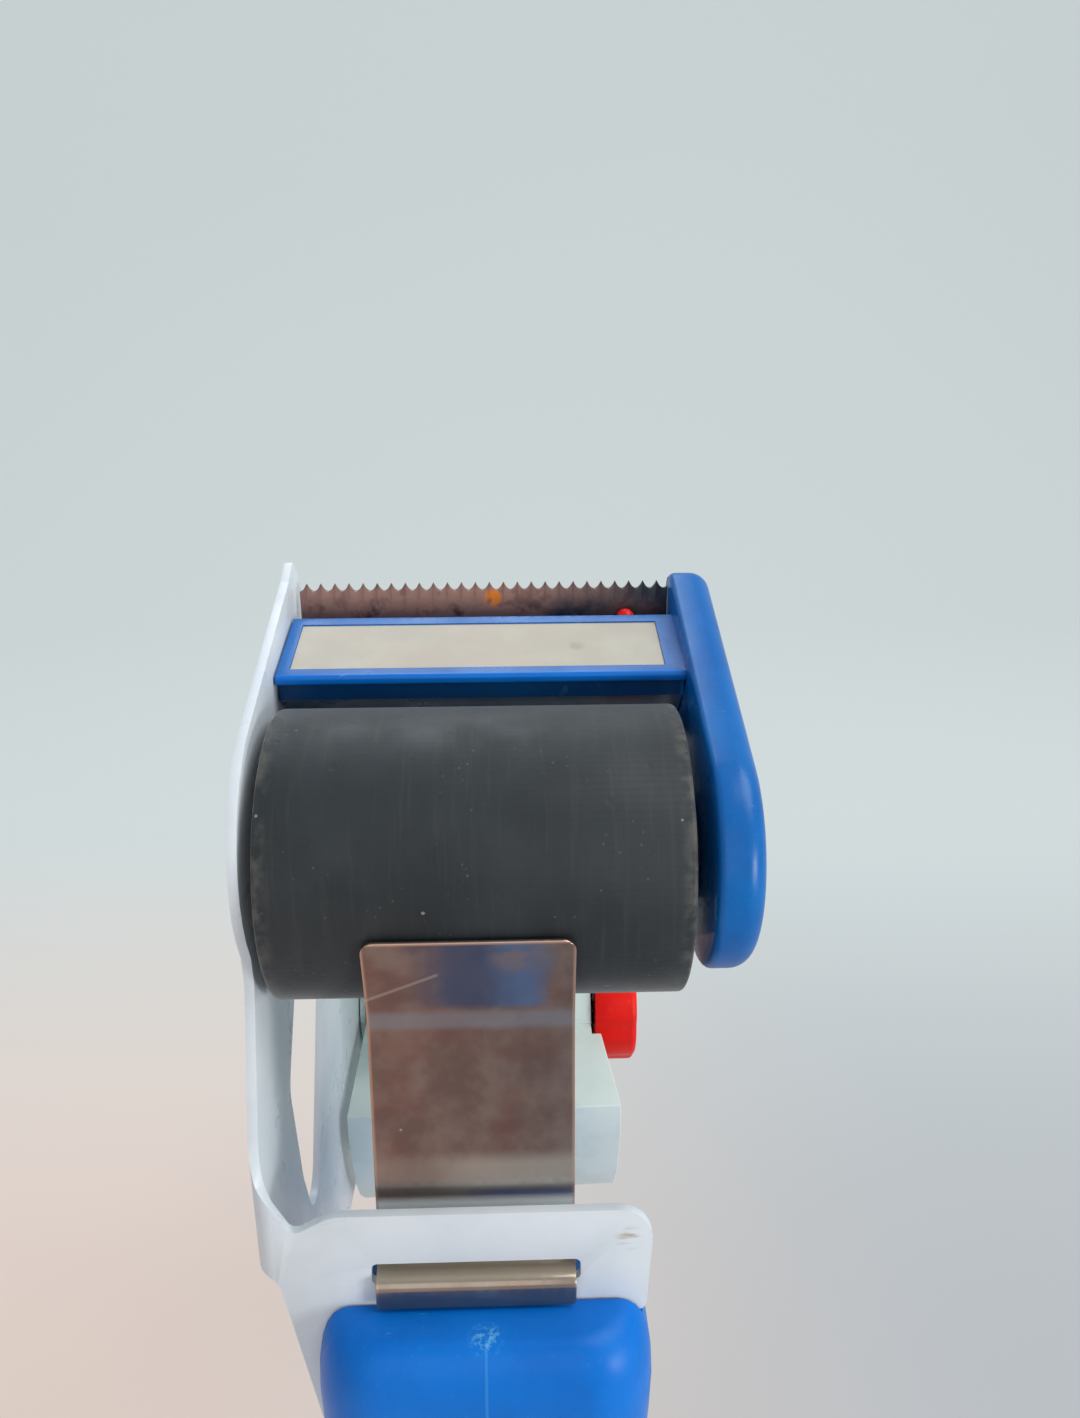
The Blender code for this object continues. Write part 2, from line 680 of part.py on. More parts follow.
def make_handle_screw(looks):
    """Screw from behind, through the handle and the tang."""
    seat = HANDLE_DEPTH / 2 - HANDLE_SCREW_SINK
    profile = screw_profile(
        seat + GAP + HANDLE_SCREW_HEAD_THICKNESS,
        HANDLE_SCREW_HEAD_RADIUS,
        HANDLE_SCREW_HEAD_THICKNESS,
        HANDLE_SCREW_RADIUS,
        AXIS_BACK - FLANGE_AHEAD - HANDLE_SCREW_REACH,
        -1,
    )
    return body("handle_screw", turned(profile, axis="Y"), looks, (0, 0, handle_screw_height()))


def on_bar(back, rise):
    """A side point measured along the bar's tilted top from its front edge, and above it."""
    return (
        -BAR_BACK - back * math.cos(BAR_TILT) + rise * math.sin(BAR_TILT),
        BAR_TOP + back * math.sin(BAR_TILT) + rise * math.cos(BAR_TILT),
    )


def bar_section():
    """Section of the bar: lip, front wall, hollow over the roller, rear wall and ledge."""
    wall_back = BAR_BACK + LIP_OVERHANG
    clear = ROLLER_RADIUS + BAR_CLEARANCE
    start = math.acos(-wall_back / clear)
    over_roller = arc((0, 0), clear, start, BAR_BOTTOM_ANGLE)
    low = over_roller[-1]
    ledge = BAR_REAR_TOP - LEDGE_DROP
    corners = [
        (*on_bar(0, 0), LIP_ROUND),
        (*on_bar(0, -LIP_THICKNESS), LIP_ROUND),
        (-wall_back, on_bar(LIP_OVERHANG, -LIP_THICKNESS)[1], 0),
        *plain(over_roller),
        (low[0] - BAR_FOOT_BACK, low[1] - BAR_FOOT_DROP, BAR_FOOT_DROP),
        (-REAR_WALL_BACK, BLADE_FOOT, BAR_FOOT_DROP),
        (-REAR_WALL_BACK, ledge, LIP_ROUND / 2),
        (-BAR_REAR_BACK, ledge, 0),
        (*on_bar(BAR_DEPTH, 0), LIP_ROUND / 2),
    ]
    return filleted(corners)


def guard_outline(inset):
    """Teardrop of the guard, drawn in by an inset: a large lobe at the roller, a small end at the blade."""
    tip = (-BLADE_REAR_BACK - GUARD_TIP_BEHIND_BLADE + GUARD_TIP_RADIUS, guard_top() - GUARD_TIP_RADIUS)
    lobe = (GUARD_LOBE_AHEAD, GUARD_LOBE_UP)
    reach = Vector((tip[0] - lobe[0], tip[1] - lobe[1]))
    facing = math.atan2(reach.y, reach.x)
    spread = math.acos((GUARD_LOBE_RADIUS - GUARD_TIP_RADIUS) / reach.length)
    around = arc(lobe, GUARD_LOBE_RADIUS - inset, facing + spread - FULL_TURN, facing - spread)
    end = arc(tip, GUARD_TIP_RADIUS - inset, facing - spread, facing + spread)
    return around + end


def guard_top():
    """Height of the guard's upper end."""
    return BLADE_TOP + GUARD_TIP_ABOVE_BLADE


def guard_rings():
    """The guard's levels from its inner face to its rounded outer face."""
    rings = []
    for across_share, inset_share in GUARD_ROUND_SHARES:
        across = GUARD_INNER + across_share * GUARD_THICKNESS
        outline = guard_outline(inset_share * GUARD_THICKNESS)
        rings.append([from_side(ahead, up, across) for ahead, up in outline])
    return rings


def make_cutter_head(looks):
    """Bar and guard in one moulding, with the label's recess and the holes."""
    overlap = GUARD_INNER + GUARD_THICKNESS / 3
    head = body("cutter_head", slab(bar_section(), HEAD_LEFT, overlap), looks, ROLLER_AXIS)
    combine(head, "guard_part", lofted(guard_rings()), "UNION")
    sunk = LABEL_SUNK + LABEL_THICKNESS + GAP
    ends = (LABEL_FROM_FRONT - GAP, LABEL_FROM_FRONT + LABEL_DEPTH + GAP)
    recess = [on_bar(ends[0], -sunk), on_bar(ends[1], -sunk), on_bar(ends[1], OVERRUN), on_bar(ends[0], OVERRUN)]
    half = LABEL_HALF + GAP
    combine(head, "label_cutter", slab(recess, -half, half))
    counterbore = axle_end() + GAP
    hole = [
        (GUARD_INNER - OVERRUN, 0),
        (GUARD_INNER - OVERRUN, AXLE_RADIUS + GAP),
        (counterbore, AXLE_RADIUS + GAP),
        (counterbore, AXLE_SCREW_HEAD_RADIUS + GAP),
        (GUARD_OUTER + OVERRUN, AXLE_SCREW_HEAD_RADIUS + GAP),
        (GUARD_OUTER + OVERRUN, 0),
    ]
    combine(head, "axle_cutter", turned(hole))
    for index, (back, up) in enumerate(zip(HEAD_SCREW_BACKS, HEAD_SCREW_UPS)):
        end = PLATE_OUTER + HEAD_SCREW_DEPTH + GAP
        cutter = turned(disc(HEAD_LEFT - OVERRUN, end, HEAD_SCREW_RADIUS + GAP))
        bmesh.ops.translate(cutter, verts=cutter.verts[:], vec=from_side(-BAR_BACK - back, up, 0))
        combine(head, f"head_screw_cutter_{index}", cutter)
    for side in (-1, 1):
        depth = REAR_WALL_BACK - BLADE_SCREW_DEPTH - GAP
        cutter = turned(disc(depth, REAR_WALL_BACK + OVERRUN, BLADE_SCREW_RADIUS + GAP), axis="Y")
        place = (side * BLADE_SCREW_ACROSS, 0, blade_screw_up())
        bmesh.ops.translate(cutter, verts=cutter.verts[:], vec=place)
        combine(head, f"blade_screw_cutter_{side + 1}", cutter)
    ledge = BAR_REAR_TOP - LEDGE_DROP
    cutter = turned(disc(ledge - PEG_DEPTH - GAP, ledge + OVERRUN, PEG_RADIUS + GAP / 2), axis="Z")
    bmesh.ops.translate(cutter, verts=cutter.verts[:], vec=from_side(peg_ahead(), 0, PEG_RIGHT))
    combine(head, "peg_cutter", cutter)
    return head


def axle_end():
    """Where the roller's axle ends, inside the guard."""
    return GUARD_OUTER - AXLE_SCREW_HEAD_THICKNESS - 2 * GAP - GAP


def blade_screw_up():
    """Height of the blade's screws above the roller's axis."""
    return BLADE_FOOT + BLADE_SCREW_UP


def peg_ahead():
    """Place of the peg, in the middle of the ledge."""
    return -(BAR_REAR_BACK + LEDGE_DEPTH / 2)


def make_label(looks):
    """The bare label strip in the bar's recess."""
    far = LABEL_FROM_FRONT + LABEL_DEPTH
    low = -LABEL_SUNK - LABEL_THICKNESS
    corners = [
        on_bar(LABEL_FROM_FRONT, low),
        on_bar(far, low),
        on_bar(far, -LABEL_SUNK),
        on_bar(LABEL_FROM_FRONT, -LABEL_SUNK),
    ]
    return body("label_strip", slab(corners, -LABEL_HALF, LABEL_HALF), looks, ROLLER_AXIS)


def make_blade(looks):
    """The serrated blade, standing on edge behind the bar."""
    left = PLATE_INNER + 2 * GAP
    right = GUARD_INNER - 2 * GAP
    pitch = (right - left) / TOOTH_COUNT
    valley = pitch * TOOTH_VALLEY_SHARE
    root = BLADE_TOP - TOOTH_HEIGHT
    outline = [(left, BLADE_FOOT), (right, BLADE_FOOT)]
    for tooth in reversed(range(TOOTH_COUNT)):
        start = left + tooth * pitch
        outline.append((start + pitch - valley / 2, root))
        outline.append((start + pitch / 2, BLADE_TOP))
        outline.append((start + valley / 2, root))
    holes = [
        circle((side * BLADE_SCREW_ACROSS, blade_screw_up()), BLADE_SCREW_RADIUS + GAP) for side in (-1, 1)
    ]
    mesh = slab(outline, -BLADE_REAR_BACK, -BLADE_FRONT_BACK, from_front, holes)
    return body("cutter_blade", mesh, looks, ROLLER_AXIS)


def make_blade_screw(name, side, looks):
    """Screw from behind, through the blade into the head."""
    profile = screw_profile(
        BLADE_REAR_BACK + GAP + BLADE_SCREW_HEAD_THICKNESS,
        BLADE_SCREW_HEAD_RADIUS,
        BLADE_SCREW_HEAD_THICKNESS,
        BLADE_SCREW_RADIUS,
        REAR_WALL_BACK - BLADE_SCREW_DEPTH,
        -1,
    )
    place = ROLLER_AXIS + Vector((side * BLADE_SCREW_ACROSS, 0, blade_screw_up()))
    return body(name, turned(profile, axis="Y"), looks, place)


def make_peg(looks):
    """The small red peg in the ledge, its domed head just above the bar's rear edge."""
    ledge = BAR_REAR_TOP - LEDGE_DROP
    top = BAR_REAR_TOP + PEG_ABOVE_BAR
    dome = [(top - PEG_RADIUS + PEG_RADIUS * math.sin(a), PEG_RADIUS * math.cos(a)) for a in dome_angles()]
    profile = [(ledge - PEG_DEPTH, 0), (ledge - PEG_DEPTH, PEG_RADIUS), *dome, (top, 0)]
    return body("red_peg", turned(profile, axis="Z"), looks, ROLLER_AXIS + from_side(peg_ahead(), 0, PEG_RIGHT))


def dome_angles():
    """Levels of a dome's rings, from its rim up to just under its top."""
    return [math.radians(angle) for angle in (0, 30, 60)]


def make_head_screw(name, back, up, looks):
    """Screw from outside the frame into the bar's left end."""
    profile = screw_profile(
        PLATE_OUTER - GAP - HEAD_SCREW_HEAD_THICKNESS,
        HEAD_SCREW_HEAD_RADIUS,
        HEAD_SCREW_HEAD_THICKNESS,
        HEAD_SCREW_RADIUS,
        PLATE_OUTER + HEAD_SCREW_DEPTH,
        1,
    )
    return body(name, turned(profile), looks, ROLLER_AXIS + from_side(-BAR_BACK - back, up, 0))


def make_roller_axle(looks):
    """The roller's axle: its head outside the frame, its far end tapped for a screw."""
    seat = PLATE_OUTER - GAP
    head = seat - AXLE_HEAD_THICKNESS
    bore = AXLE_SCREW_RADIUS + GAP
    depth = axle_end() - AXLE_SCREW_DEPTH - GAP
    profile = [
        (head, 0),
        (head, AXLE_HEAD_RADIUS - AXLE_HEAD_THICKNESS / 2),
        (seat - AXLE_HEAD_THICKNESS / 2, AXLE_HEAD_RADIUS),
        (seat, AXLE_HEAD_RADIUS),
        (seat, AXLE_RADIUS),
        (axle_end(), AXLE_RADIUS),
        (axle_end(), bore),
        (depth, bore),
        (depth, 0),
    ]
    return body("roller_axle", turned(profile), looks, ROLLER_AXIS)


def make_axle_screw(looks):
    """Screw in the guard's outer face that holds the axle."""
    seat = axle_end() + 2 * GAP
    profile = screw_profile(
        seat + AXLE_SCREW_HEAD_THICKNESS,
        AXLE_SCREW_HEAD_RADIUS,
        AXLE_SCREW_HEAD_THICKNESS,
        AXLE_SCREW_RADIUS,
        axle_end() - AXLE_SCREW_DEPTH,
        -1,
    )
    return body("axle_screw", turned(profile), looks, ROLLER_AXIS)


def core_radius():
    """Outer radius of the roller's core, just inside the rubber."""
    return ROLLER_RADIUS - SLEEVE_WALL - GAP


def bush_radius():
    """Outer radius of a roller bush."""
    return AXLE_RADIUS + GAP + BUSH_WALL


def make_roller_sleeve(looks):
    """The rubber sleeve, its edges slightly rounded."""
    edge = SLEEVE_WALL / 4
    inner = ROLLER_RADIUS - SLEEVE_WALL
    profile = [
        (ROLLER_LEFT, inner),
        (ROLLER_LEFT, ROLLER_RADIUS - edge),
        (ROLLER_LEFT + edge, ROLLER_RADIUS),
        (ROLLER_RIGHT - edge, ROLLER_RADIUS),
        (ROLLER_RIGHT, ROLLER_RADIUS - edge),
        (ROLLER_RIGHT, inner),
    ]
    return body("roller_sleeve", turned(profile, ROUND_STEPS), looks, ROLLER_AXIS)


def make_roller_core(looks):
    """The moulded core under the rubber, recessed at both ends for its bushes."""
    seat = bush_radius() + GAP
    bore = AXLE_RADIUS + 2 * GAP
    inset = BUSH_LENGTH - BUSH_PROUD
    profile = [
        (ROLLER_LEFT + GAP, seat),
        (ROLLER_LEFT + GAP, core_radius()),
        (ROLLER_RIGHT - GAP, core_radius()),
        (ROLLER_RIGHT - GAP, seat),
        (ROLLER_RIGHT - inset, seat),
        (ROLLER_RIGHT - inset, bore),
        (ROLLER_LEFT + inset, bore),
        (ROLLER_LEFT + inset, seat),
    ]
    return body("roller_core", turned(profile, ROUND_STEPS), looks, ROLLER_AXIS)


def make_bush(name, side, looks):
    """A plain bush in one end of the roller's core, its outer end a little proud."""
    outer = side * (ROLLER_RIGHT + BUSH_PROUD)
    inner = side * (ROLLER_RIGHT + BUSH_PROUD + GAP - BUSH_LENGTH)
    left, right = sorted((outer, inner))
    return body(name, turned(disc(left, right, bush_radius(), AXLE_RADIUS + GAP)), looks, ROLLER_AXIS)


def make_roller_washer(name, near, far, looks):
    """A washer that fills the space between a bush and the wall beside it."""
    profile = disc(near + GAP, far - GAP, ROLLER_WASHER_RADIUS, AXLE_RADIUS + GAP)
    return body(name, turned(profile), looks, ROLLER_AXIS)


def flap_path():
    """Middle line of the flap, from its lip's end, through the slot and up to its tip."""
    slot = FLANGE_AHEAD
    tip_ahead = math.sqrt(ROLLER_RADIUS**2 - FLAP_TIP_DROP**2) + 2 * GAP + FLAP_THICKNESS / 2
    behind = slot - SHEET - FLAP_BEHIND
    corners = [
        (slot + FLAP_LIP_AHEAD, -FLAP_SLOT_DROP - FLAP_LIP_DROP, 0),
        (slot + FLAP_LIP_AHEAD, -FLAP_SLOT_DROP - FLAP_HOOK / 2, FLAP_HOOK),
        (behind, -FLAP_SLOT_DROP + FLAP_HOOK / 2, FLAP_HOOK),
        (behind, -FLAP_SLOT_DROP + FLAP_RISE, FLAP_BEND_RADIUS),
        (FLAP_BEND_AHEAD, -FLAP_BEND_DROP, FLAP_BEND_RADIUS),
        (tip_ahead, -FLAP_TIP_DROP, 0),
    ]
    return filleted(corners)


def make_flap(looks):
    """The spring-steel flap, hooked through the flange's slot."""
    path = flap_path()
    length = stations(path)[-1]
    half = FLAP_WIDTH / 2
    corners = [
        (0, -half, FLAP_CORNER / 4),
        (length, -half, FLAP_CORNER),
        (length, half, FLAP_CORNER),
        (0, half, FLAP_CORNER / 4),
    ]
    slot_ahead = FLANGE_AHEAD - SHEET / 2
    local = [(ahead - slot_ahead, up + FLAP_SLOT_DROP) for ahead, up in path]
    mesh = formed_sheet(
        filleted(corners),
        [],
        local,
        0.0,
        FLAP_THICKNESS,
        lambda ahead, up, across: from_side(ahead, up, across),
    )
    place = ROLLER_AXIS + from_side(slot_ahead, -FLAP_SLOT_DROP, -FLAP_CENTRE)
    return body("tape_flap", mesh, looks, place)


def wing_points(index):
    """Outline of one hub wing: out along its web, round its pad and back in."""
    facing = FULL_TURN * index / WING_COUNT
    half = WING_THICKNESS / 2
    inner = CORE_RADIUS - PAD_THICKNESS
    lean_boss = math.asin(half / HUB_BOSS_RADIUS)
    lean_pad = math.asin(half / inner)
    lean_rim = math.asin(half / CORE_RADIUS)
    end = -PAD_SWEEP
    pad_out = arc((0, 0), CORE_RADIUS, lean_rim, end)
    pad_in = arc((0, 0), inner, end, -lean_pad - PAD_THICKNESS / inner / 2)
    boss = [polar(HUB_BOSS_RADIUS, lean_boss)]
    root = [polar(HUB_BOSS_RADIUS, -lean_boss)]
    web_end = [polar(inner - PAD_THICKNESS / 2, -lean_pad)]
    points = boss + pad_out + pad_in + web_end + root
    points += arc((0, 0), HUB_BOSS_RADIUS, -lean_boss, lean_boss - FULL_TURN / WING_COUNT)[1:-1]
    cosine = math.cos(facing)
    sine = math.sin(facing)
    return [(a * cosine - b * sine, a * sine + b * cosine) for a, b in points]


def polar(radius, angle):
    """A point given by its radius and angle."""
    return (radius * math.cos(angle), radius * math.sin(angle))


def make_hub(looks):
    """The hub that grips the tape's core: a boss with curved wings, bored for its axle."""
    outline = []
    for index in range(WING_COUNT):
        outline += wing_points(-index)
    mesh = thicken(
        flat_sheet(outline, [circle((0, 0), HUB_AXLE_RADIUS + GAP)]),
        lambda a, b: from_side(a, b, HUB_LEFT),
        lambda a, b: from_side(*drawn_in(a, b), HUB_RIGHT),
    )
    hub = body("hub_core", mesh, looks, HUB_AXIS)
    combine(hub, "brake_cutter", turned(brake_space(), ROUND_STEPS))
    return hub


def drawn_in(a, b):
    """A point of the wings' outline at the hub's right end, where the pads are a little slimmer."""
    reach = math.hypot(a, b)
    beyond = max(0.0, reach - HUB_BOSS_RADIUS) / (CORE_RADIUS - HUB_BOSS_RADIUS)
    share = 1 - HUB_TAPER * beyond / reach
    return a * share, b * share


def brake_space():
    """Profile of what is cut from the hub's right end: the brake's pocket, room for the knob and a shallow dish."""
    pocket = FRICTION_RADIUS + POCKET_CLEARANCE
    relief = KNOB_LEFT - KNOB_TRAVEL - GAP
    clear = KNOB_RADIUS + KNOB_CLEARANCE
    far = CORE_RADIUS + OVERRUN
    return [
        (BOSS_RIGHT, 0),
        (BOSS_RIGHT, pocket),
        (relief, pocket),
        (relief, clear),
        (HUB_RIGHT - HUB_DISH * (1 - clear / CORE_RADIUS), clear),
        (HUB_RIGHT - HUB_DISH * (1 - far / CORE_RADIUS), far),
        (HUB_RIGHT + OVERRUN, far),
        (HUB_RIGHT + OVERRUN, 0),
    ]


def make_hub_axle(looks):
    """The hub's axle, its head outside the frame."""
    seat = PLATE_OUTER - GAP
    head = seat - HUB_AXLE_HEAD_THICKNESS
    profile = [
        (head, 0),
        (head, HUB_AXLE_HEAD_RADIUS - HUB_AXLE_HEAD_THICKNESS / 2),
        (seat - HUB_AXLE_HEAD_THICKNESS / 2, HUB_AXLE_HEAD_RADIUS),
        (seat, HUB_AXLE_HEAD_RADIUS),
        (seat, HUB_AXLE_RADIUS),
        (HUB_AXLE_END, HUB_AXLE_RADIUS),
        (HUB_AXLE_END, 0),
    ]
    return body("hub_axle", turned(profile), looks, HUB_AXIS)


def make_hub_disc(name, left, thickness, radius, looks):
    """A washer on the hub's axle."""
    profile = disc(left, left + thickness, radius, HUB_AXLE_RADIUS + GAP)
    return body(name, turned(profile, ROUND_STEPS // 2 + SMALL_STEPS // 2), looks, HUB_AXIS)


def spring_points():
    """Middle line of the brake's coil spring, one continuous helix."""
    count = round(SPRING_TURNS * SPRING_CURL_POINTS)
    travel = SPRING_LENGTH - SPRING_WIRE - 2 * GAP
    points = []
    for step in range(count + 1):
        angle = FULL_TURN * step / SPRING_CURL_POINTS
        along = SPRING_LEFT + GAP + SPRING_WIRE / 2 + travel * step / count
        points.append(Vector((along, SPRING_RADIUS * math.cos(angle), SPRING_RADIUS * math.sin(angle))))
    return points


def least_coil_gap(points):
    """Least clear distance between a coil and itself a turn or so on."""
    half_turn = SPRING_CURL_POINTS // 2
    least = min(
        (one - other).length
        for index, one in enumerate(points)
        for other in points[index + half_turn :]
    )
    return least - SPRING_WIRE


def make_spring(looks):
    """The brake's spring, a round wire along a helix."""
    points = spring_points()
    print(f"brake_spring: least gap to itself {least_coil_gap(points) / MM:.2f} mm")
    curve = bpy.data.curves.new("brake_spring", "CURVE")
    curve.dimensions = "3D"
    curve.bevel_depth = SPRING_WIRE / 2
    curve.bevel_resolution = 1
    curve.use_fill_caps = True
    spline = curve.splines.new("POLY")
    spline.points.add(len(points) - 1)
    for place, point in zip(spline.points, points):
        place.co = (*point, 1.0)
    curve.materials.append(looks)
    made = bpy.data.objects.new("brake_spring", curve)
    made.location = HUB_AXIS
    bpy.context.scene.collection.objects.link(made)
    return made


def knob_ring(across, share):
    """One level of the knob, scalloped for the fingers."""
    ring = []
    for step in range(KNOB_ROUND_POINTS):
        angle = FULL_TURN * step / KNOB_ROUND_POINTS
        wave = (1 + math.cos(KNOB_SCALLOPS * angle)) / 2
        radius = KNOB_RADIUS * share * (1 - KNOB_SCALLOP_SHARE * wave**3)
        ring.append(Vector((across, radius * math.cos(angle), radius * math.sin(angle))))
    return ring


def make_knob(looks):
    """The brake's knob, hollowed for the spring, the washer, the nut and the axle's end."""
    rings = [knob_ring(KNOB_LEFT + share * KNOB_LENGTH, size) for share, size in KNOB_ROUND_SHARES]
    knob = body("brake_knob", lofted(rings), looks, HUB_AXIS)
    recess = KNOB_RADIUS - KNOB_RECESS_WALL
    hollow = [
        (KNOB_LEFT - OVERRUN, 0),
        (KNOB_LEFT - OVERRUN, recess),
        (RECESS_END, recess),
        (RECESS_END, HUB_AXLE_RADIUS + GAP),
        (KNOB_BORE_END, HUB_AXLE_RADIUS + GAP),
        (KNOB_BORE_END, 0),
    ]
    combine(knob, "recess_cutter", turned(hollow))
    pocket = NUT_RADIUS + GAP
    combine(knob, "pocket_cutter", turned(disc(RECESS_END - GAP, POCKET_END, pocket), 6))
    return knob


def make_nut(looks):
    """The hexagonal nut in the knob's pocket."""
    profile = disc(NUT_LEFT, NUT_LEFT + NUT_THICKNESS, NUT_RADIUS)
    nut = body("knob_nut", turned(profile, 6), looks, HUB_AXIS)
    bore = disc(NUT_LEFT - OVERRUN, NUT_LEFT + NUT_THICKNESS + OVERRUN, HUB_AXLE_RADIUS + GAP)
    combine(nut, "nut_cutter", turned(bore))
    return nut


def build():
    """Every piece of the dispenser."""
    paint = material("white_paint", (0.74, 0.79, 0.81), 0.35)
    blue = material("blue_plastic", (0.004, 0.107, 0.513), 0.38)
    rubber = material("black_rubber", (0.034, 0.042, 0.047), 0.7)
    core = material("roller_core_plastic", (0.05, 0.05, 0.055), 0.5)
    steel = material("zinc_steel", (0.62, 0.63, 0.65), 0.3, 1.0)
    blade = material("worn_blade_steel", (0.16, 0.09, 0.08), 0.55, 0.8)
    chrome = material("bright_spring_steel", (0.72, 0.68, 0.66), 0.16, 1.0)
    label = material("bare_label", (0.62, 0.59, 0.52), 0.6)
    red = material("red_plastic", (0.75, 0.009, 0.002), 0.35)
    mint = material("mint_plastic", (0.55, 0.65, 0.62), 0.42)
    fibre = material("fibre_washer", (0.10, 0.055, 0.035), 0.85)
    brass = material("brass_nut", (0.60, 0.42, 0.14), 0.3, 1.0)
    make_frame(paint)
    make_handle(blue)
    make_handle_screw(steel)
    make_cutter_head(blue)
    make_label(label)
    make_blade(blade)
    make_blade_screw("blade_screw_left", -1, steel)
    make_blade_screw("blade_screw_right", 1, steel)
    make_peg(red)
    make_head_screw("head_screw_front", HEAD_SCREW_BACKS[0], HEAD_SCREW_UPS[0], steel)
    make_head_screw("head_screw_rear", HEAD_SCREW_BACKS[1], HEAD_SCREW_UPS[1], steel)
    make_roller_axle(steel)
    make_axle_screw(steel)
    make_roller_washer("roller_washer_left", PLATE_INNER, ROLLER_LEFT - BUSH_PROUD, core)
    make_roller_washer("roller_washer_right", ROLLER_RIGHT + BUSH_PROUD, GUARD_INNER, core)
    make_roller_sleeve(rubber)
    make_roller_core(core)
    make_bush("roller_bush_left", -1, core)
    make_bush("roller_bush_right", 1, core)
    make_hub_axle(steel)
    make_hub_disc("hub_washer", PLATE_INNER + GAP, HUB_WASHER_THICKNESS, HUB_WASHER_RADIUS, core)
    make_hub(mint)
    make_hub_disc("friction_washer", FRICTION_LEFT, FRICTION_THICKNESS, FRICTION_RADIUS, fibre)
    make_hub_disc("pressure_washer", PRESSURE_LEFT, PRESSURE_THICKNESS, PRESSURE_RADIUS, steel)
    make_spring(steel)
    make_hub_disc("thrust_washer", THRUST_LEFT, THRUST_THICKNESS, THRUST_RADIUS, steel)
    make_knob(red)
    make_nut(brass)
    make_flap(chrome)


for leftover in list(bpy.data.objects):
    bpy.data.objects.remove(leftover)
build()
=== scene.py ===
# %% [markdown]
# # A handheld dispenser for packing tape
#
# The real object is a bent and painted steel frame with a moulded handle, a rubber roller, a
# serrated blade in a blue cutter head, a spring-steel flap that holds the tape's end, and a pale
# hub with a red brake knob. The packed model already gives every piece its place and its joints.
# This lesson dresses it: finer shapes where the eye needs them, and a finish for every piece.

# %% Load the packed model as a fixed frame
import bmesh
import bpy
import json
import math
from mathutils import Matrix, Vector


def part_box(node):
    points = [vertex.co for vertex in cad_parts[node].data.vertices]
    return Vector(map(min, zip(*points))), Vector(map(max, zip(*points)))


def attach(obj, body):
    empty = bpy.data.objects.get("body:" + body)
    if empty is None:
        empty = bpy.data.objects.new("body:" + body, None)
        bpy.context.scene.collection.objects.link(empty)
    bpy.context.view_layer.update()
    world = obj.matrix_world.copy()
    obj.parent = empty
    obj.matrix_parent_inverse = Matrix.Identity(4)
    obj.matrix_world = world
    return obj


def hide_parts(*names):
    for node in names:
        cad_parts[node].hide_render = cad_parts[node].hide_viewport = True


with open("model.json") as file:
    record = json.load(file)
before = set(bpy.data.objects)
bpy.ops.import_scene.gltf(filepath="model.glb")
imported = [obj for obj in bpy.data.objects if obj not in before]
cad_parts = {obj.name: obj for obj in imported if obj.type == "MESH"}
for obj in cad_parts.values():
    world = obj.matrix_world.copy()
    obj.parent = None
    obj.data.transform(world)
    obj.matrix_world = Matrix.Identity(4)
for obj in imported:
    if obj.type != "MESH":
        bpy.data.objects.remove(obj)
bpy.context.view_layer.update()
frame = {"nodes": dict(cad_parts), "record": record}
bpy.ops.object.select_all(action="DESELECT")

# %% [markdown]
# ## Places that several pieces share
#
# Everything is in metres. X runs along the roller and the hub, -Y is the front and Z is up the
# handle. Writing the two axes and the bar's tilt once keeps the pieces in step with each other.

# %% Axes and small helpers for places
MM = 0.001
ROLLER_AXIS = Vector((0, 17.5, 170.0)) * MM
HUB_AXIS = Vector((0, 86.0, 102.5)) * MM
ROLLER_RADIUS = 18.6 * MM
ROLLER_LENGTH = 51.0 * MM
BAR_TILT = math.radians(15.2)
ALONG_X = (0, math.pi / 2, 0)


def at(across, ahead, up):
    """A place given in millimetres across, ahead of and above the roller's axis."""
    return ROLLER_AXIS + Vector((across, -ahead, up)) * MM


print("roller axis", tuple(ROLLER_AXIS), "hub axis", tuple(HUB_AXIS))

# %% Edges that a piece's shape and its finish both use, in millimetres
GUARD_INNER = 27.9
GUARD_OUTER = 33.8
BLADE_TOP = 29.2
HANDLE_TOP = 117.5
FLAP_CENTRE = -1.0
FLAP_HALF = 12.5
FLAP_FOOT_BEND = 130.6
FLAP_TOP_BEND = 156.6
FLAP_TIP = 167.6
print("flap from", FLAP_CENTRE - FLAP_HALF, "to", FLAP_CENTRE + FLAP_HALF, "mm across")

# %% [markdown]
# ## Tools for modelling by hand
#
# A modeller adds a primitive, goes into edit mode, picks faces or edges and works on them. In a
# script the picking is done by place or by normal. These few helpers do only that, so that each
# piece below reads like the steps of a modelling session.

# %% Helpers for selecting
TOUCH = 0.01 * MM


def only(piece):
    """Leaves edit mode and makes one object the selected and active one."""
    if bpy.context.mode != "OBJECT":
        bpy.ops.object.mode_set(mode="OBJECT")
    bpy.ops.object.select_all(action="DESELECT")
    piece.select_set(True)
    bpy.context.view_layer.objects.active = piece


def started(name):
    """Names the new primitive and moves its place into its mesh."""
    piece = bpy.context.object
    piece.name = piece.data.name = name
    bpy.ops.object.transform_apply(location=True, rotation=True, scale=True)
    return piece


def pick(piece, kind, test):
    """Goes into edit mode with the vertices, edges or faces selected that pass a test."""
    only(piece)
    bpy.ops.object.mode_set(mode="EDIT")
    bpy.ops.mesh.select_mode(type=kind)
    bpy.ops.mesh.select_all(action="DESELECT")
    mesh = bmesh.from_edit_mesh(piece.data)
    items = {"VERT": mesh.verts, "EDGE": mesh.edges, "FACE": mesh.faces}[kind]
    for item in items:
        if test(item):
            item.select_set(True)
    mesh.select_flush_mode()
    bmesh.update_edit_mesh(piece.data)


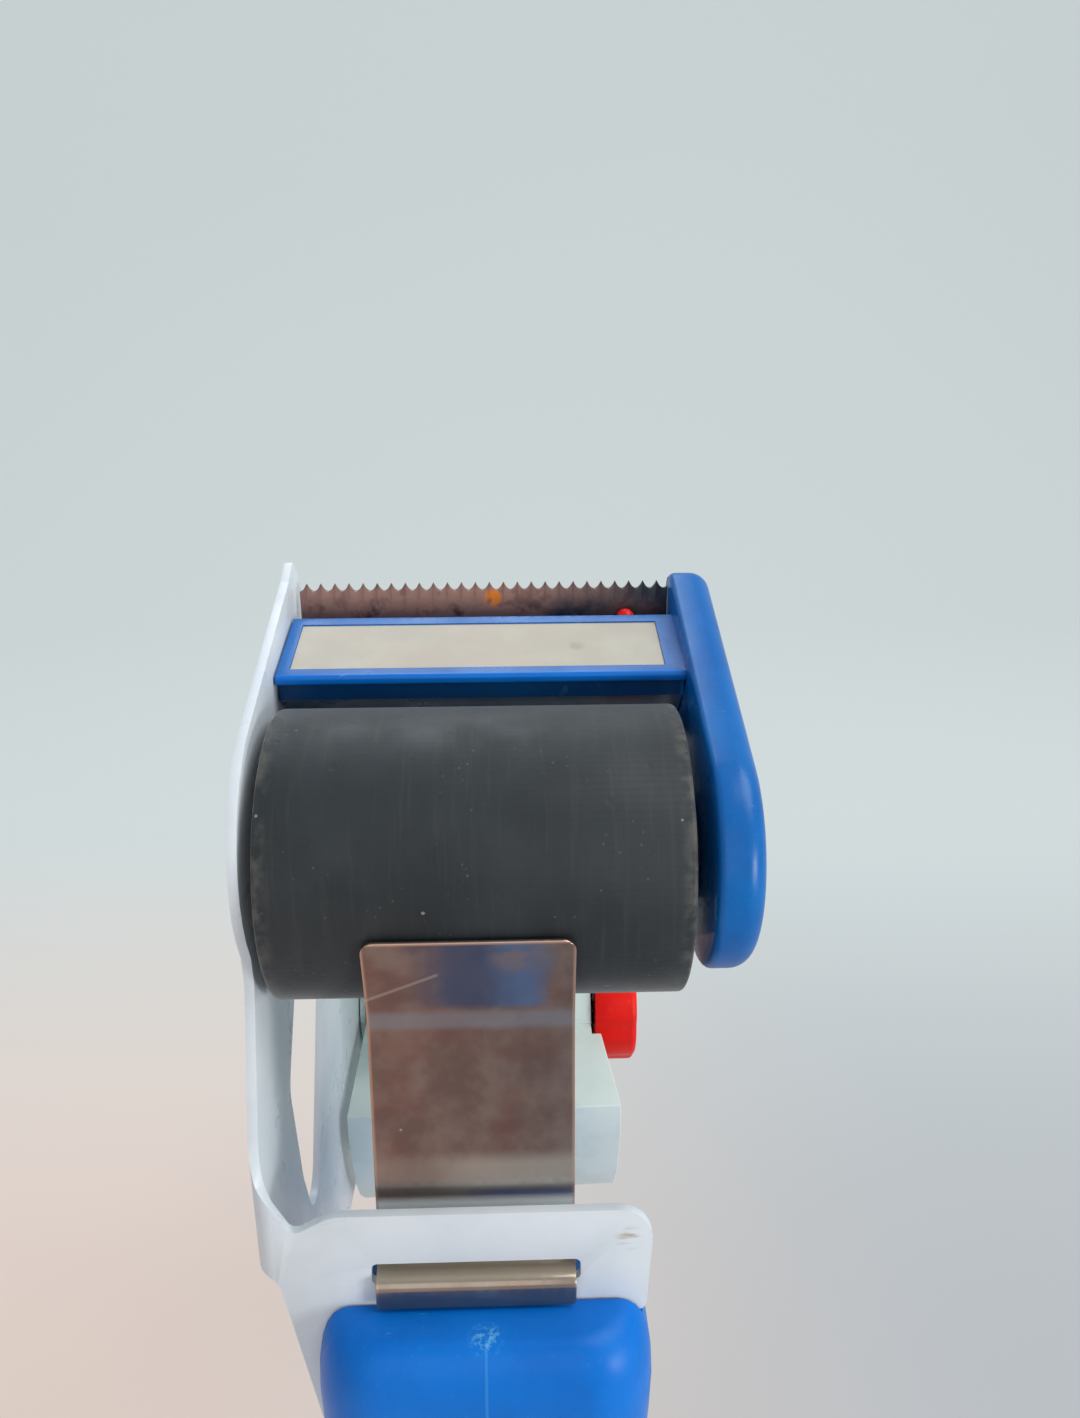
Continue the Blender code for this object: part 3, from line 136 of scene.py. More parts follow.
def edge_where(test):
    """Turns a test on points into a test on edges: both ends must pass."""
    return lambda edge: all(test(vert.co) for vert in edge.verts)


print("points within", TOUCH / MM, "mm of a place count as on it")

# %% Helpers for shaping
def shape(piece, kind, name, **settings):
    """Adds a modifier and applies it."""
    only(piece)
    modifier = piece.modifiers.new(name, kind)
    for key, value in settings.items():
        setattr(modifier, key, value)
    bpy.ops.object.modifier_apply(modifier=name)


def cut(piece, tool):
    """Cuts a tool's shape out of a piece and removes the tool."""
    shape(piece, "BOOLEAN", "cut", operation="DIFFERENCE", solver="EXACT", object=tool)
    bpy.data.objects.remove(tool)


def soften(piece, width, segments=2, angle=30):
    """Rounds the piece's sharp edges a little."""
    shape(
        piece, "BEVEL", "soften", width=width, segments=segments,
        limit_method="ANGLE", angle_limit=math.radians(angle), use_clamp_overlap=True,
    )


def bored(piece, wall):
    """Opens a closed cylinder along X into a tube with a given wall."""
    pick(piece, "FACE", lambda face: abs(face.normal.x) > 0.9)
    bpy.ops.mesh.inset(thickness=wall)
    bpy.ops.mesh.delete(type="FACE")
    pick(piece, "EDGE", lambda edge: edge.is_boundary)
    bpy.ops.mesh.bridge_edge_loops()


print("shaping helpers ready")

# %% Helpers for clean meshes
MERGE = 0.002 * MM


def finished(piece, angle=35):
    """Closes doubles, points the faces outwards and shades smooth across gentle edges."""
    only(piece)
    bpy.ops.object.mode_set(mode="EDIT")
    bpy.ops.mesh.select_all(action="SELECT")
    bpy.ops.mesh.remove_doubles(threshold=MERGE)
    bpy.ops.mesh.normals_make_consistent(inside=False)
    bpy.ops.object.mode_set(mode="OBJECT")
    bpy.ops.object.shade_smooth_by_angle(angle=math.radians(angle))
    print(f"{piece.name}: {len(piece.data.polygons)} faces")


def merged_copy(node, name):
    """A copy of a packed node with its loose triangles merged into clean faces."""
    piece = bpy.data.objects.new(name, frame["nodes"][node].data.copy())
    bpy.context.scene.collection.objects.link(piece)
    only(piece)
    bpy.ops.mesh.customdata_custom_splitnormals_clear()
    bpy.ops.object.mode_set(mode="EDIT")
    bpy.ops.mesh.select_all(action="SELECT")
    bpy.ops.mesh.remove_doubles(threshold=MERGE)
    bpy.ops.mesh.dissolve_limited(angle_limit=math.radians(1))
    bpy.ops.object.mode_set(mode="OBJECT")
    return piece


print("points closer than", MERGE / MM, "mm are merged")

# %% Helper for handing a piece over
def hand_over(piece, body, slot, *nodes):
    """Lets a piece ride on its body, gives it a material slot's finish and hides and names the nodes it
    stands for.
    """
    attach(piece, body)
    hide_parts(*nodes)
    piece.data.materials.clear()
    piece.data.materials.append(finishes[slot])
    print(f"{piece.name} rides on {body} for {', '.join(nodes)}")


# %% [markdown]
# ## Tools for finishes
#
# Every finish is built from nodes on Object coordinates, which are metres here, so a scale of
# 1000 gives grain of about a millimetre. A small class keeps the node wiring short: each method
# adds one node and gives back its output.

# %% Colours as on screen
def tone(red, green, blue):
    """A colour written as on screen, 0 to 255, turned into linear light."""
    levels = [value / 255 for value in (red, green, blue)]
    linear = [v / 12.92 if v <= 0.04045 else ((v + 0.055) / 1.055) ** 2.4 for v in levels]
    return (*linear, 1.0)


print("middle grey:", [round(value, 3) for value in tone(128, 128, 128)[:3]])

# %% A class for building finishes
class Finish:
    """A Principled material with helpers for its nodes."""

    def __init__(self, name, metallic=0.0, specular=0.5):
        self.material = bpy.data.materials.new(name)
        self.material.use_nodes = True
        self.tree = self.material.node_tree
        self.shader = self.tree.nodes["Principled BSDF"]
        self.shader.inputs["Metallic"].default_value = metallic
        self.shader.inputs["Specular IOR Level"].default_value = specular
        self.place = self.tree.nodes.new("ShaderNodeTexCoord").outputs["Object"]

    def add(self, kind, inputs, output, **settings):
        """Adds a node, feeds its inputs and gives back one output."""
        node = self.tree.nodes.new(kind)
        for key, value in settings.items():
            setattr(node, key, value)
        for key, value in inputs.items():
            self.feed(node.inputs[key], value)
        return node.outputs[output]

    def feed(self, socket, value):
        """Links an output to a socket, or writes a plain value on it."""
        if isinstance(value, bpy.types.NodeSocket):
            self.tree.links.new(value, socket)
        else:
            socket.default_value = value

    def stretched(self, scale, turn=(0, 0, 0)):
        """Object coordinates, stretched for streaks."""
        inputs = {"Vector": self.place, "Scale": scale, "Rotation": turn}
        return self.add("ShaderNodeMapping", inputs, "Vector")

    def noise(self, scale, detail=3.0, rough=0.55, place=None):
        """Cloudy noise, about 0.3 to 0.7."""
        inputs = {"Vector": place or self.place, "Scale": scale, "Detail": detail, "Roughness": rough}
        return self.add("ShaderNodeTexNoise", inputs, "Fac")

    def cells(self, scale):
        """Distance to the nearest scattered point."""
        return self.add("ShaderNodeTexVoronoi", {"Vector": self.place, "Scale": scale}, "Distance")

    def ramp(self, value, low, high, to_low=0.0, to_high=1.0):
        """Maps a value's range, softly and clamped."""
        inputs = {"Value": value, "From Min": low, "From Max": high}
        inputs.update({"To Min": to_low, "To Max": to_high})
        return self.add("ShaderNodeMapRange", inputs, "Result", interpolation_type="SMOOTHSTEP")

    def math(self, operation, one, other=0.0):
        """One arithmetic step."""
        node = self.tree.nodes.new("ShaderNodeMath")
        node.operation = operation
        self.feed(node.inputs[0], one)
        self.feed(node.inputs[1], other)
        return node.outputs[0]

    def both(self, one, other):
        """1 only where two masks are 1."""
        return self.math("MULTIPLY", one, other)

    def mix(self, share, one, other):
        """Mixes two colours."""
        node = self.tree.nodes.new("ShaderNodeMix")
        node.data_type = "RGBA"
        self.feed(node.inputs["Factor"], share)
        self.feed(node.inputs["A"], one)
        self.feed(node.inputs["B"], other)
        return node.outputs["Result"]

    def tint(self, colour, mask, strength, other):
        """Lays another colour over the first where a mask is 1, at a given strength."""
        return self.mix(self.both(mask, strength), colour, other)

    def axis(self, name):
        """One object coordinate."""
        return self.add("ShaderNodeSeparateXYZ", {"Vector": self.place}, name)

    def beyond(self, name, low, high):
        """0 below a stretch of one coordinate and 1 beyond it, in millimetres."""
        return self.ramp(self.axis(name), low * MM, high * MM)

    def before(self, name, low, high):
        """1 before a stretch of one coordinate and 0 after it, in millimetres."""
        return self.ramp(self.axis(name), low * MM, high * MM, 1.0, 0.0)

    def band(self, name, centre, half, soft):
        """1 inside a band of one coordinate and 0 outside, in millimetres."""
        away = self.math("ABSOLUTE", self.math("SUBTRACT", self.axis(name), centre * MM))
        return self.ramp(away, half * MM, (half + soft) * MM, 1.0, 0.0)

    def near(self, point, radius, soft):
        """1 near a point and 0 away from it."""
        away = self.add("ShaderNodeVectorMath", {0: self.place, 1: point}, "Value", operation="DISTANCE")
        return self.ramp(away, radius * MM, (radius + soft) * MM, 1.0, 0.0)

    def bump(self, height, distance, strength=1.0):
        """Small relief."""
        inputs = {"Height": height, "Distance": distance * MM, "Strength": strength}
        self.feed(self.shader.inputs["Normal"], self.add("ShaderNodeBump", inputs, "Normal"))

    def done(self, colour, roughness):
        """Feeds the shader and gives back the material."""
        self.feed(self.shader.inputs["Base Color"], colour)
        self.feed(self.shader.inputs["Roughness"], roughness)
        return self.material


finishes = {}
print("finish helpers:", len([name for name in vars(Finish) if name[0] != "_"]))

# %% [markdown]
# ## White paint on the steel frame
#
# The frame is steel under thick glossy enamel. Enamel is never quite even: it has a faint orange
# peel, small chips and a few brownish rubs. Noise gives the peel and the clouds, and one short
# brown rub sits at the flange's upper right corner.

# %% White enamel
def white_enamel():
    """Enamel with faint clouds, grime, chips and one brown rub."""
    f = Finish("white_enamel")
    clouds = f.ramp(f.noise(55, 4), 0.35, 0.68)
    colour = f.mix(clouds, tone(220, 228, 234), tone(207, 217, 225))
    grime = f.ramp(f.noise(240, 6, 0.65), 0.64, 0.78)
    colour = f.tint(colour, grime, 0.35, tone(168, 162, 150))
    streaks = f.noise(1.0, 4, 0.6, f.stretched((260, 260, 1500)))
    flange_corner = at(18.2, 22, -43.2)
    rub = f.both(f.near(flange_corner, 0.5, 1.7), f.ramp(streaks, 0.46, 0.62))
    colour = f.tint(colour, rub, 0.7, tone(164, 138, 108))
    chips = f.ramp(f.cells(95), 0.035, 0.05, 1.0, 0.0)
    chips = f.both(chips, f.ramp(f.noise(60), 0.60, 0.66))
    colour = f.mix(chips, colour, tone(138, 132, 128))
    f.bump(f.noise(700, 2), 0.05, 0.25)
    return f.done(colour, f.ramp(f.noise(120), 0.3, 0.7, 0.26, 0.40))


finishes["white_paint"] = white_enamel()
print("white enamel ready")

# %% [markdown]
# ## Blue plastic of the handle and the cutter head
#
# Both mouldings are the same blue polypropylene: satin, a little cloudy, with pale scuffs where
# it was knocked. The handle also shows its mould's parting line, which runs down from a pale
# gate mark in the middle of its front. The mark is a ragged spot, and the line is a thin band.

# %% Blue plastic of both mouldings
def blue_moulding(name, specular, deep, pale, scuffs):
    """Finish and base colour of one moulding, with scuffs at places and of sizes in millimetres."""
    f = Finish(name, specular=specular)
    colour = f.mix(f.ramp(f.noise(90, 5), 0.30, 0.70), deep, pale)
    speckle = f.ramp(f.noise(1900, 2), 0.60, 0.75)
    colour = f.tint(colour, speckle, 0.14, tone(60, 150, 220))
    ragged = f.ramp(f.noise(1300, 5, 0.7), 0.46, 0.60)
    for point, radius in scuffs:
        scuff = f.both(f.near(point, radius * 0.3, radius), ragged)
        colour = f.tint(colour, scuff, 0.7, tone(110, 190, 228))
    streaks = f.noise(1.0, 3, 0.6, f.stretched((300, 2600, 300), (0.3, 0.2, 0.5)))
    scratch = f.both(f.ramp(streaks, 0.66, 0.72), f.ramp(f.noise(70), 0.5, 0.6))
    return f, f.tint(colour, scratch, 0.3, tone(110, 165, 220))


print("blue plastic helper ready")

# %% Blue plastic of the head
def head_plastic():
    """The head's blue, with painted shade on the bar's wall under its lip and painted light on the front
    of its lip.
    """
    scuffs = [
        (at(32.0, -16.5, 20.5), 1.5),
        (at(31.0, -23.05, 26.85), 0.9),
        (at(-18.0, -9.8, 20.6), 0.5),
    ]
    deep, pale = tone(0, 90, 166), tone(2, 104, 182)
    f, colour = blue_moulding("blue_head_plastic", 0.26, deep, pale, scuffs)
    lip_foot = 189.2
    lip_back = 27.5
    on_bar = f.before("X", GUARD_INNER - 0.7, GUARD_INNER - 0.1)
    # Painted shade: the bar's wall under its lip is darkened, as the lip shades it.
    painted_shade_below_lip = f.both(on_bar, f.before("Z", lip_foot, lip_foot + 0.6))
    colour = f.tint(colour, painted_shade_below_lip, 0.6, tone(14, 26, 44))
    # Painted light: the front of the lip is brightened.
    painted_light_lip_front = f.both(on_bar, f.before("Y", lip_back, lip_back + 0.4))
    painted_light_lip_front = f.both(painted_light_lip_front, f.beyond("Z", lip_foot, lip_foot + 0.4))
    colour = f.tint(colour, painted_light_lip_front, 0.6, tone(6, 124, 232))
    f.bump(f.noise(1500, 3), 0.02, 0.5)
    return f.done(colour, f.ramp(f.noise(160), 0.3, 0.7, 0.26, 0.38))


finishes["blue_plastic"] = head_plastic()
print("head's plastic ready")

# %% Blue plastic of the handle
def handle_plastic():
    """The handle's blue, with its gate mark, its parting line and painted shade on its top under the
    flange.
    """
    line_across = 0.2
    gate = Vector((line_across, -9.8, HANDLE_TOP - 0.5)) * MM
    deep, pale = tone(0, 104, 198), tone(2, 115, 211)
    f, colour = blue_moulding("blue_handle_plastic", 0.2, deep, pale, [(gate, 2.0)])
    line = f.both(f.band("X", line_across, 0.08, 0.22), f.before("Y", -10.5, -9.5))
    colour = f.tint(colour, line, 0.4, tone(70, 150, 225))
    # Painted shade: the handle's top behind the flap, under the flange, is darkened.
    on_top = f.beyond("Z", HANDLE_TOP - 0.9, HANDLE_TOP - 0.3)
    painted_shade_behind_flap = f.both(on_top, f.beyond("Y", -4.6, -3.8))
    colour = f.tint(colour, painted_shade_behind_flap, 0.6, tone(36, 46, 74))
    grain = f.math("MULTIPLY", f.noise(1500, 3), 0.25)
    f.bump(f.math("ADD", grain, line), 0.08, 0.5)
    return f.done(colour, f.ramp(f.noise(160), 0.3, 0.7, 0.30, 0.44))


handle_finish = handle_plastic()
print("handle's plastic ready")

# %% [markdown]
# ## Black rubber of the roller
#
# Rubber that has held tape for years is dark grey and matt, dusty in streaks, with tiny pale
# specks and shallow scratches around it. The dust is noise stretched along the roller's length.

# %% Black rubber
def dusty_rubber():
    """Dark rubber with smears, dusty ends, pale specks and fine pits."""
    f = Finish("dusty_rubber", specular=0.35)
    clouds = f.ramp(f.noise(70, 5), 0.34, 0.68)
    colour = f.mix(clouds, tone(29, 35, 39), tone(40, 46, 50))
    smears = f.noise(1.0, 5, 0.6, f.stretched((900, 60, 60), (0, 0.25, 0)))
    colour = f.tint(colour, f.ramp(smears, 0.5, 0.72), 0.13, tone(84, 84, 80))
    end = ROLLER_LENGTH / 2
    ends = f.ramp(f.math("ABSOLUTE", f.axis("X")), end - 2.3 * MM, end - 0.1 * MM)
    dusty_ends = f.both(ends, f.ramp(f.noise(420, 4), 0.4, 0.65))
    colour = f.tint(colour, dusty_ends, 0.45, tone(110, 108, 102))
    specks = f.ramp(f.cells(330), 0.055, 0.085, 1.0, 0.0)
    specks = f.both(specks, f.ramp(f.noise(260), 0.52, 0.60))
    colour = f.tint(colour, specks, 0.75, tone(150, 150, 146))
    dust = f.ramp(f.cells(820), 0.10, 0.16, 1.0, 0.0)
    dust = f.both(dust, f.ramp(f.noise(90, 4), 0.48, 0.62))
    colour = f.tint(colour, dust, 0.3, tone(110, 112, 112))
    pits = f.ramp(f.cells(210), 0.05, 0.12)
    f.bump(f.math("ADD", f.math("MULTIPLY", f.noise(1400, 4), 0.4), pits), 0.06, 0.5)
    f.shader.inputs["Sheen Weight"].default_value = 0.30
    f.shader.inputs["Sheen Roughness"].default_value = 0.35
    return f.done(colour, f.ramp(f.noise(130, 4), 0.3, 0.7, 0.48, 0.62))


finishes["black_rubber"] = dusty_rubber()
print("rubber ready")

# %% [markdown]
# ## Steel: the blade, the flap and the fasteners
#
# The blade is thin spring steel gone brown with age, darker to the right, with three spots of
# orange rust. The flap is polished steel in a warm brown tone, with painted reflections and
# highlights: a navy patch on its tip, pale and blue bands at its bends, a pale foot and lip top.
# The fasteners are plain zinc-plated steel and the nut is brass, so these two share a helper.

# %% Worn blade steel
def worn_blade():
    """Brown steel, blued to the right, with dark blotches and three spots of rust."""
    f = Finish("worn_blade_steel", metallic=0.55)
    across, up = f.axis("X"), f.axis("Z")
    top = at(0, 0, BLADE_TOP).z
    colour = f.mix(f.ramp(across, 2 * MM, 25 * MM), tone(142, 108, 99), tone(96, 78, 78))
    low = f.ramp(up, top - 4.8 * MM, top - 1.6 * MM, 1.0, 0.15)
    blotches = f.ramp(f.noise(330, 5, 0.65), 0.48, 0.66)
    colour = f.mix(f.both(blotches, low), colour, tone(72, 46, 50))
    blued = f.both(f.ramp(across, 3 * MM, 12 * MM), low)
    blued = f.math("MAXIMUM", blued, f.ramp(across, 18 * MM, 25 * MM))
    blued = f.both(blued, f.ramp(f.noise(190, 3), 0.36, 0.54))
    colour = f.mix(blued, colour, tone(42, 46, 60))
    ragged = f.ramp(f.noise(700, 3, 0.6), 0.30, 0.48)
    rust = [
        (at(1.9, -29.2, 26.9), 1.5, tone(206, 116, 34)),
        (at(3.2, -29.2, 29.0), 0.7, tone(150, 92, 52)),
        (at(5.1, -29.2, 29.0), 0.6, tone(176, 132, 60)),
    ]
    for place, radius, orange in rust:
        spot = f.both(f.near(place, radius * 0.5, radius * 0.6), ragged)
        colour = f.mix(spot, colour, orange)
    tips = f.ramp(up, top - 0.9 * MM, top - 0.1 * MM, 0.0, 0.45)
    colour = f.mix(tips, colour, tone(60, 50, 52))
    f.bump(f.noise(1200, 5), 0.05, 0.6)
    return f.done(colour, f.ramp(blotches, 0, 1, 0.36, 0.6))


finishes["blade_steel"] = worn_blade()
print("blade steel ready")

# %% Bright spring steel
def spring_steel():
    """Polished steel with a cloudy middle, a scratch and flecks, and painted reflections and highlights
    on its tip, its bends, its foot and the top of its hooked lip.
    """
    f = Finish("bright_spring_steel")
    across, up = f.axis("X"), f.axis("Z")
    clouds = f.ramp(f.noise(150, 6, 0.6), 0.36, 0.64)
    colour = f.mix(clouds, tone(136, 120, 114), tone(116, 97, 93))
    ruddy = f.ramp(f.noise(70, 4, 0.6), 0.48, 0.66)
    colour = f.tint(colour, ruddy, 0.55, tone(126, 90, 84))

    # Painted reflection: a navy patch in the middle of the tip, where it reflects something dark blue in
    # front.
    wander = f.math("MULTIPLY", f.math("SUBTRACT", f.noise(120, 4), 0.5), 9 * MM)
    warped = f.math("ADD", across, wander)
    tip = f.beyond("Z", FLAP_TOP_BEND + 0.2, FLAP_TOP_BEND + 1.6)
    from_left = f.ramp(warped, -9.0 * MM, -3.0 * MM)
    middle = f.both(from_left, f.ramp(warped, 5.0 * MM, 9.5 * MM, 1.0, 0.0))
    painted_reflection_navy = f.mix(f.ramp(warped, 0.0, 6 * MM), tone(70, 84, 116), tone(88, 120, 164))
    colour = f.tint(colour, f.both(tip, middle), 0.85, painted_reflection_navy)
    grey = f.both(f.near(at(4.2, 19.2, -4.6), 0.8, 3.0), f.ramp(f.noise(420, 5, 0.65), 0.38, 0.56))
    colour = f.tint(colour, grey, 0.8, tone(134, 120, 122))

    scratch_line = f.math("ADD", f.math("MULTIPLY", across, 0.444), (FLAP_TIP - 2.8) * MM)
    from_line = f.math("ABSOLUTE", f.math("SUBTRACT", up, scratch_line))
    scratch = f.ramp(from_line, 0.10 * MM, 0.36 * MM, 1.0, 0.0)
    scratch = f.both(scratch, f.before("X", -5.0, -4.4))
    colour = f.tint(colour, f.both(scratch, tip), 0.5, tone(176, 164, 160))

    # Painted highlight: a pale band along the upper bend.
    painted_highlight_bend = f.band("Z", FLAP_TOP_BEND - 0.9, 0.5, 1.3)
    colour = f.tint(colour, painted_highlight_bend, 0.55, tone(140, 146, 158))
    # Painted reflection: a pale band just above the lower bend.
    pale = f.band("Z", FLAP_FOOT_BEND + 3.6, 1.2, 2.6)
    pale = f.both(pale, f.ramp(across, -9 * MM, 2 * MM, 0.35, 1.0))
    colour = f.tint(colour, pale, 0.7, tone(182, 178, 170))
    # Painted reflection: a blue line along the lower bend.
    painted_reflection_blue_line = f.both(f.band("Z", FLAP_FOOT_BEND + 0.7, 0.35, 0.8), f.beyond("X", -5, 3))
    colour = f.tint(colour, painted_reflection_blue_line, 0.7, tone(96, 110, 158))
    # Painted reflection: the foot is nearly white, and below its metallic share drops, so it looks as
    # bright as a reflection.
    foot = f.both(f.before("Z", FLAP_FOOT_BEND - 0.6, FLAP_FOOT_BEND + 1.0), f.beyond("Y", -2.4, -1.6))
    colour = f.mix(foot, colour, tone(232, 236, 234))

    # A coppery tint on the side edges; along the tip's edge the same tint stands for a painted
    # highlight.
    from_middle = f.math("ABSOLUTE", f.math("SUBTRACT", across, FLAP_CENTRE * MM))
    side = f.ramp(from_middle, (FLAP_HALF - 0.5) * MM, (FLAP_HALF - 0.1) * MM)
    rim = f.math("MAXIMUM", side, f.beyond("Z", FLAP_TIP - 0.5, FLAP_TIP - 0.2))
    colour = f.tint(colour, rim, 0.7, tone(206, 168, 148))
    lip = f.before("Y", -5.0, -4.2)
    colour = f.tint(colour, lip, 0.5, tone(170, 158, 144))
    # Painted reflection: the top of the hooked lip is pale, and below its metallic share drops.
    lip_top = f.both(f.before("Y", -3.4, -2.6), f.beyond("Z", 121.5, 122.2))
    colour = f.mix(lip_top, colour, tone(164, 152, 134))
    flecks = f.ramp(f.cells(170), 0.03, 0.06, 1.0, 0.0)
    colour = f.tint(colour, flecks, 0.5, tone(220, 214, 206))

    # The metallic share drops where the foot and the lip's top carry painted reflections.
    dulled_for_painted_reflection = f.math("MAXIMUM", f.math("MULTIPLY", foot, 0.9), f.math("MULTIPLY", lip_top, 0.55))
    f.feed(f.shader.inputs["Metallic"], f.math("SUBTRACT", 0.92, dulled_for_painted_reflection))
    streaks = f.noise(1.0, 3, 0.5, f.stretched((900, 100, 90)))
    f.bump(f.math("ADD", f.noise(45, 2), f.math("MULTIPLY", streaks, 0.02)), 0.5, 0.25)
    return f.done(colour, f.ramp(streaks, 0.3, 0.7, 0.14, 0.26))


finishes["bright_steel"] = spring_steel()
print("spring steel ready")

# %% Zinc-plated steel, brass and fibre
def plated(name, dark, light, roughness):
    """Plated metal with soft clouds in its plating and a little tarnish."""
    f = Finish(name, metallic=1.0)
    clouds = f.noise(320, 2, 0.5)
    tarnish = f.ramp(f.noise(420, 4), 0.45, 0.7)
    colour = f.mix(f.ramp(clouds, 0.25, 0.65), dark, light)
    colour = f.tint(colour, tarnish, 0.15, dark)
    f.bump(clouds, 0.006, 0.4)
    return f.done(colour, f.ramp(tarnish, 0, 1, roughness, roughness + 0.16))


def fibre_board():
    """Pressed fibre with short visible hairs."""
    f = Finish("pressed_fibre", specular=0.2)
    hairs = f.noise(1.0, 4, 0.7, f.stretched((700, 3200, 900), (0.5, 0.3, 0.8)))
    f.bump(hairs, 0.15, 0.8)
    return f.done(f.mix(f.ramp(hairs, 0.4, 0.62), tone(88, 62, 48), tone(122, 92, 70)), 0.85)


finishes["zinc_steel"] = plated("zinc_plate", tone(186, 188, 192), tone(206, 208, 210), 0.26)
finishes["brass_nut"] = plated("brass", tone(150, 118, 62), tone(206, 176, 108), 0.28)
finishes["fibre"] = fibre_board()
print("plated steel, brass and fibre ready")

# %% [markdown]
# ## The remaining finishes
#
# The red knob and peg and the pale mint hub are satin plastics, and the strip in the bar is
# bare film. The helper for satin plastic takes its two tones, that of its worn rubs, and its
# roughness.

# %% Satin plastics and the bare strip
def satin(name, base, shade, worn, roughness=0.34):
    """Moulded satin plastic: faint clouds, a fine grain and worn, paler rubs."""
    f = Finish(name, specular=0.25)
    colour = f.mix(f.ramp(f.noise(110, 4), 0.35, 0.66), base, shade)
    rubs = f.ramp(f.noise(520, 6, 0.7), 0.60, 0.72)
    colour = f.tint(colour, rubs, 0.35, worn)
    f.bump(f.noise(1300, 3), 0.05, 0.4)
    return f.done(colour, f.ramp(f.noise(200), 0.3, 0.7, roughness, roughness + 0.14))


def bare_film():
    """Beige film with faint blotches, a grey smudge and a fibrous grain."""
    f = Finish("bare_film", specular=0.3)
    colour = f.mix(f.ramp(f.noise(120, 3), 0.38, 0.66), tone(186, 181, 168), tone(193, 189, 175))
    pink = f.ramp(f.noise(75, 2), 0.48, 0.62)
    colour = f.tint(colour, pink, 0.5, tone(190, 178, 166))
    smudge = f.both(f.near(at(13.6, -17.0, 22.6), 0.4, 1.1), f.noise(900, 3))
    colour = f.mix(smudge, colour, tone(152, 148, 132))
    f.bump(f.noise(2600, 4), 0.03, 0.5)
    return f.done(colour, 0.55)


SATIN = {
    "red_plastic": (tone(240, 20, 6), tone(224, 12, 4), tone(240, 96, 80)),
    "mint_plastic": (tone(220, 233, 229), tone(210, 225, 221), tone(230, 238, 234)),
    "dark_plastic": (tone(44, 44, 46), tone(58, 58, 60), tone(92, 92, 92), 0.45),
}
for name, look in SATIN.items():
    finishes[name] = satin(name, *look)
finishes["bare_label"] = bare_film()
print("finishes:", ", ".join(sorted(finishes)))

# %% Give every packed node its finish
for part in frame["record"]["subparts"]:
    node = frame["nodes"][part["node"]]
    node.data.materials.clear()
    node.data.materials.append(finishes[part["material_slot"]])
frame["nodes"]["hub_washer"].data.materials[0] = finishes["mint_plastic"]

# %% [markdown]
# ## The painted frame
#
# The real frame is one blank of steel sheet, bent once and dipped in enamel, so its edges are
# plump and round. The packed node has the right outline but sharp edges. A merged copy with a
# bevel all round gives the enamel's roundness without drawing the outline again.

# %% Round the frame's edges
ENAMEL_ROUND = 0.42 * MM
sheet = merged_copy("frame_plate", "painted_sheet")
soften(sheet, ENAMEL_ROUND, 3, 28)
finished(sheet, 40)
hand_over(sheet, "frame", "white_paint", "frame_plate")

# %% [markdown]
# ## The rubber roller
#
# A sleeve of rubber: a many-sided cylinder whose ends are inset by the wall, opened and bridged
# into a tube. Its rims are slightly rounded, as ground rubber is.

# %% Roller sleeve
RUBBER_WALL = 2.8 * MM
RUBBER_RIM_ROUND = 0.6 * MM
bpy.ops.mesh.primitive_cylinder_add(
    vertices=128, radius=ROLLER_RADIUS, depth=ROLLER_LENGTH, location=ROLLER_AXIS, rotation=ALONG_X
)
rubber = started("roller_rubber")
bored(rubber, RUBBER_WALL)
rim = ROLLER_LENGTH / 2 - TOUCH
pick(rubber, "EDGE", edge_where(lambda co: (
    abs(co.x) > rim and (co - ROLLER_AXIS).yz.length > ROLLER_RADIUS - 0.1 * MM
)))
bpy.ops.mesh.bevel(offset=RUBBER_RIM_ROUND, segments=4, affect="EDGES")
finished(rubber)
hand_over(rubber, "roller", "black_rubber", "roller_sleeve")

# %% [markdown]
# ## The cutter head: bar and guard
#
# The guard is a teardrop with a bull-nosed outer edge. Two short cylinders, one for the lobe and
# one for the upper end, are wrapped in a convex hull, which gives the straight tangents for
# free. Its rims are rounded by insets that step inwards and outwards along a quarter circle, a
# large one outside and a small one inside. The bar keeps the packed section, cut free from the
# old guard and softened.

# %% Guard
INNER_ROUND = 0.9
OUTER_ROUND = 2.9
LOBE_RADIUS = 15.3
LOBE_AHEAD, LOBE_UP = 3.4, 1.5
END_RADIUS = 4.2
END_AHEAD, END_UP = -28.23, 26.25
GUARD_MERGE = 0.05
core_middle = (GUARD_INNER + INNER_ROUND + GUARD_OUTER - OUTER_ROUND) / 2
core_depth = (GUARD_OUTER - GUARD_INNER - INNER_ROUND - OUTER_ROUND) * MM
bpy.ops.mesh.primitive_cylinder_add(
    vertices=144, radius=LOBE_RADIUS * MM, depth=core_depth,
    location=at(core_middle, LOBE_AHEAD, LOBE_UP), rotation=ALONG_X,
)
guard = started("guard")
bpy.ops.object.mode_set(mode="EDIT")
bpy.ops.mesh.primitive_cylinder_add(
    vertices=72, radius=END_RADIUS * MM, depth=core_depth,
    location=at(core_middle, END_AHEAD, END_UP), rotation=ALONG_X,
)
bpy.ops.mesh.select_all(action="SELECT")
bpy.ops.mesh.convex_hull()
bpy.ops.mesh.remove_doubles(threshold=GUARD_MERGE * MM)
bpy.ops.mesh.dissolve_limited(angle_limit=math.radians(0.5))
print("guard's core:", len(bmesh.from_edit_mesh(guard.data).faces), "faces")

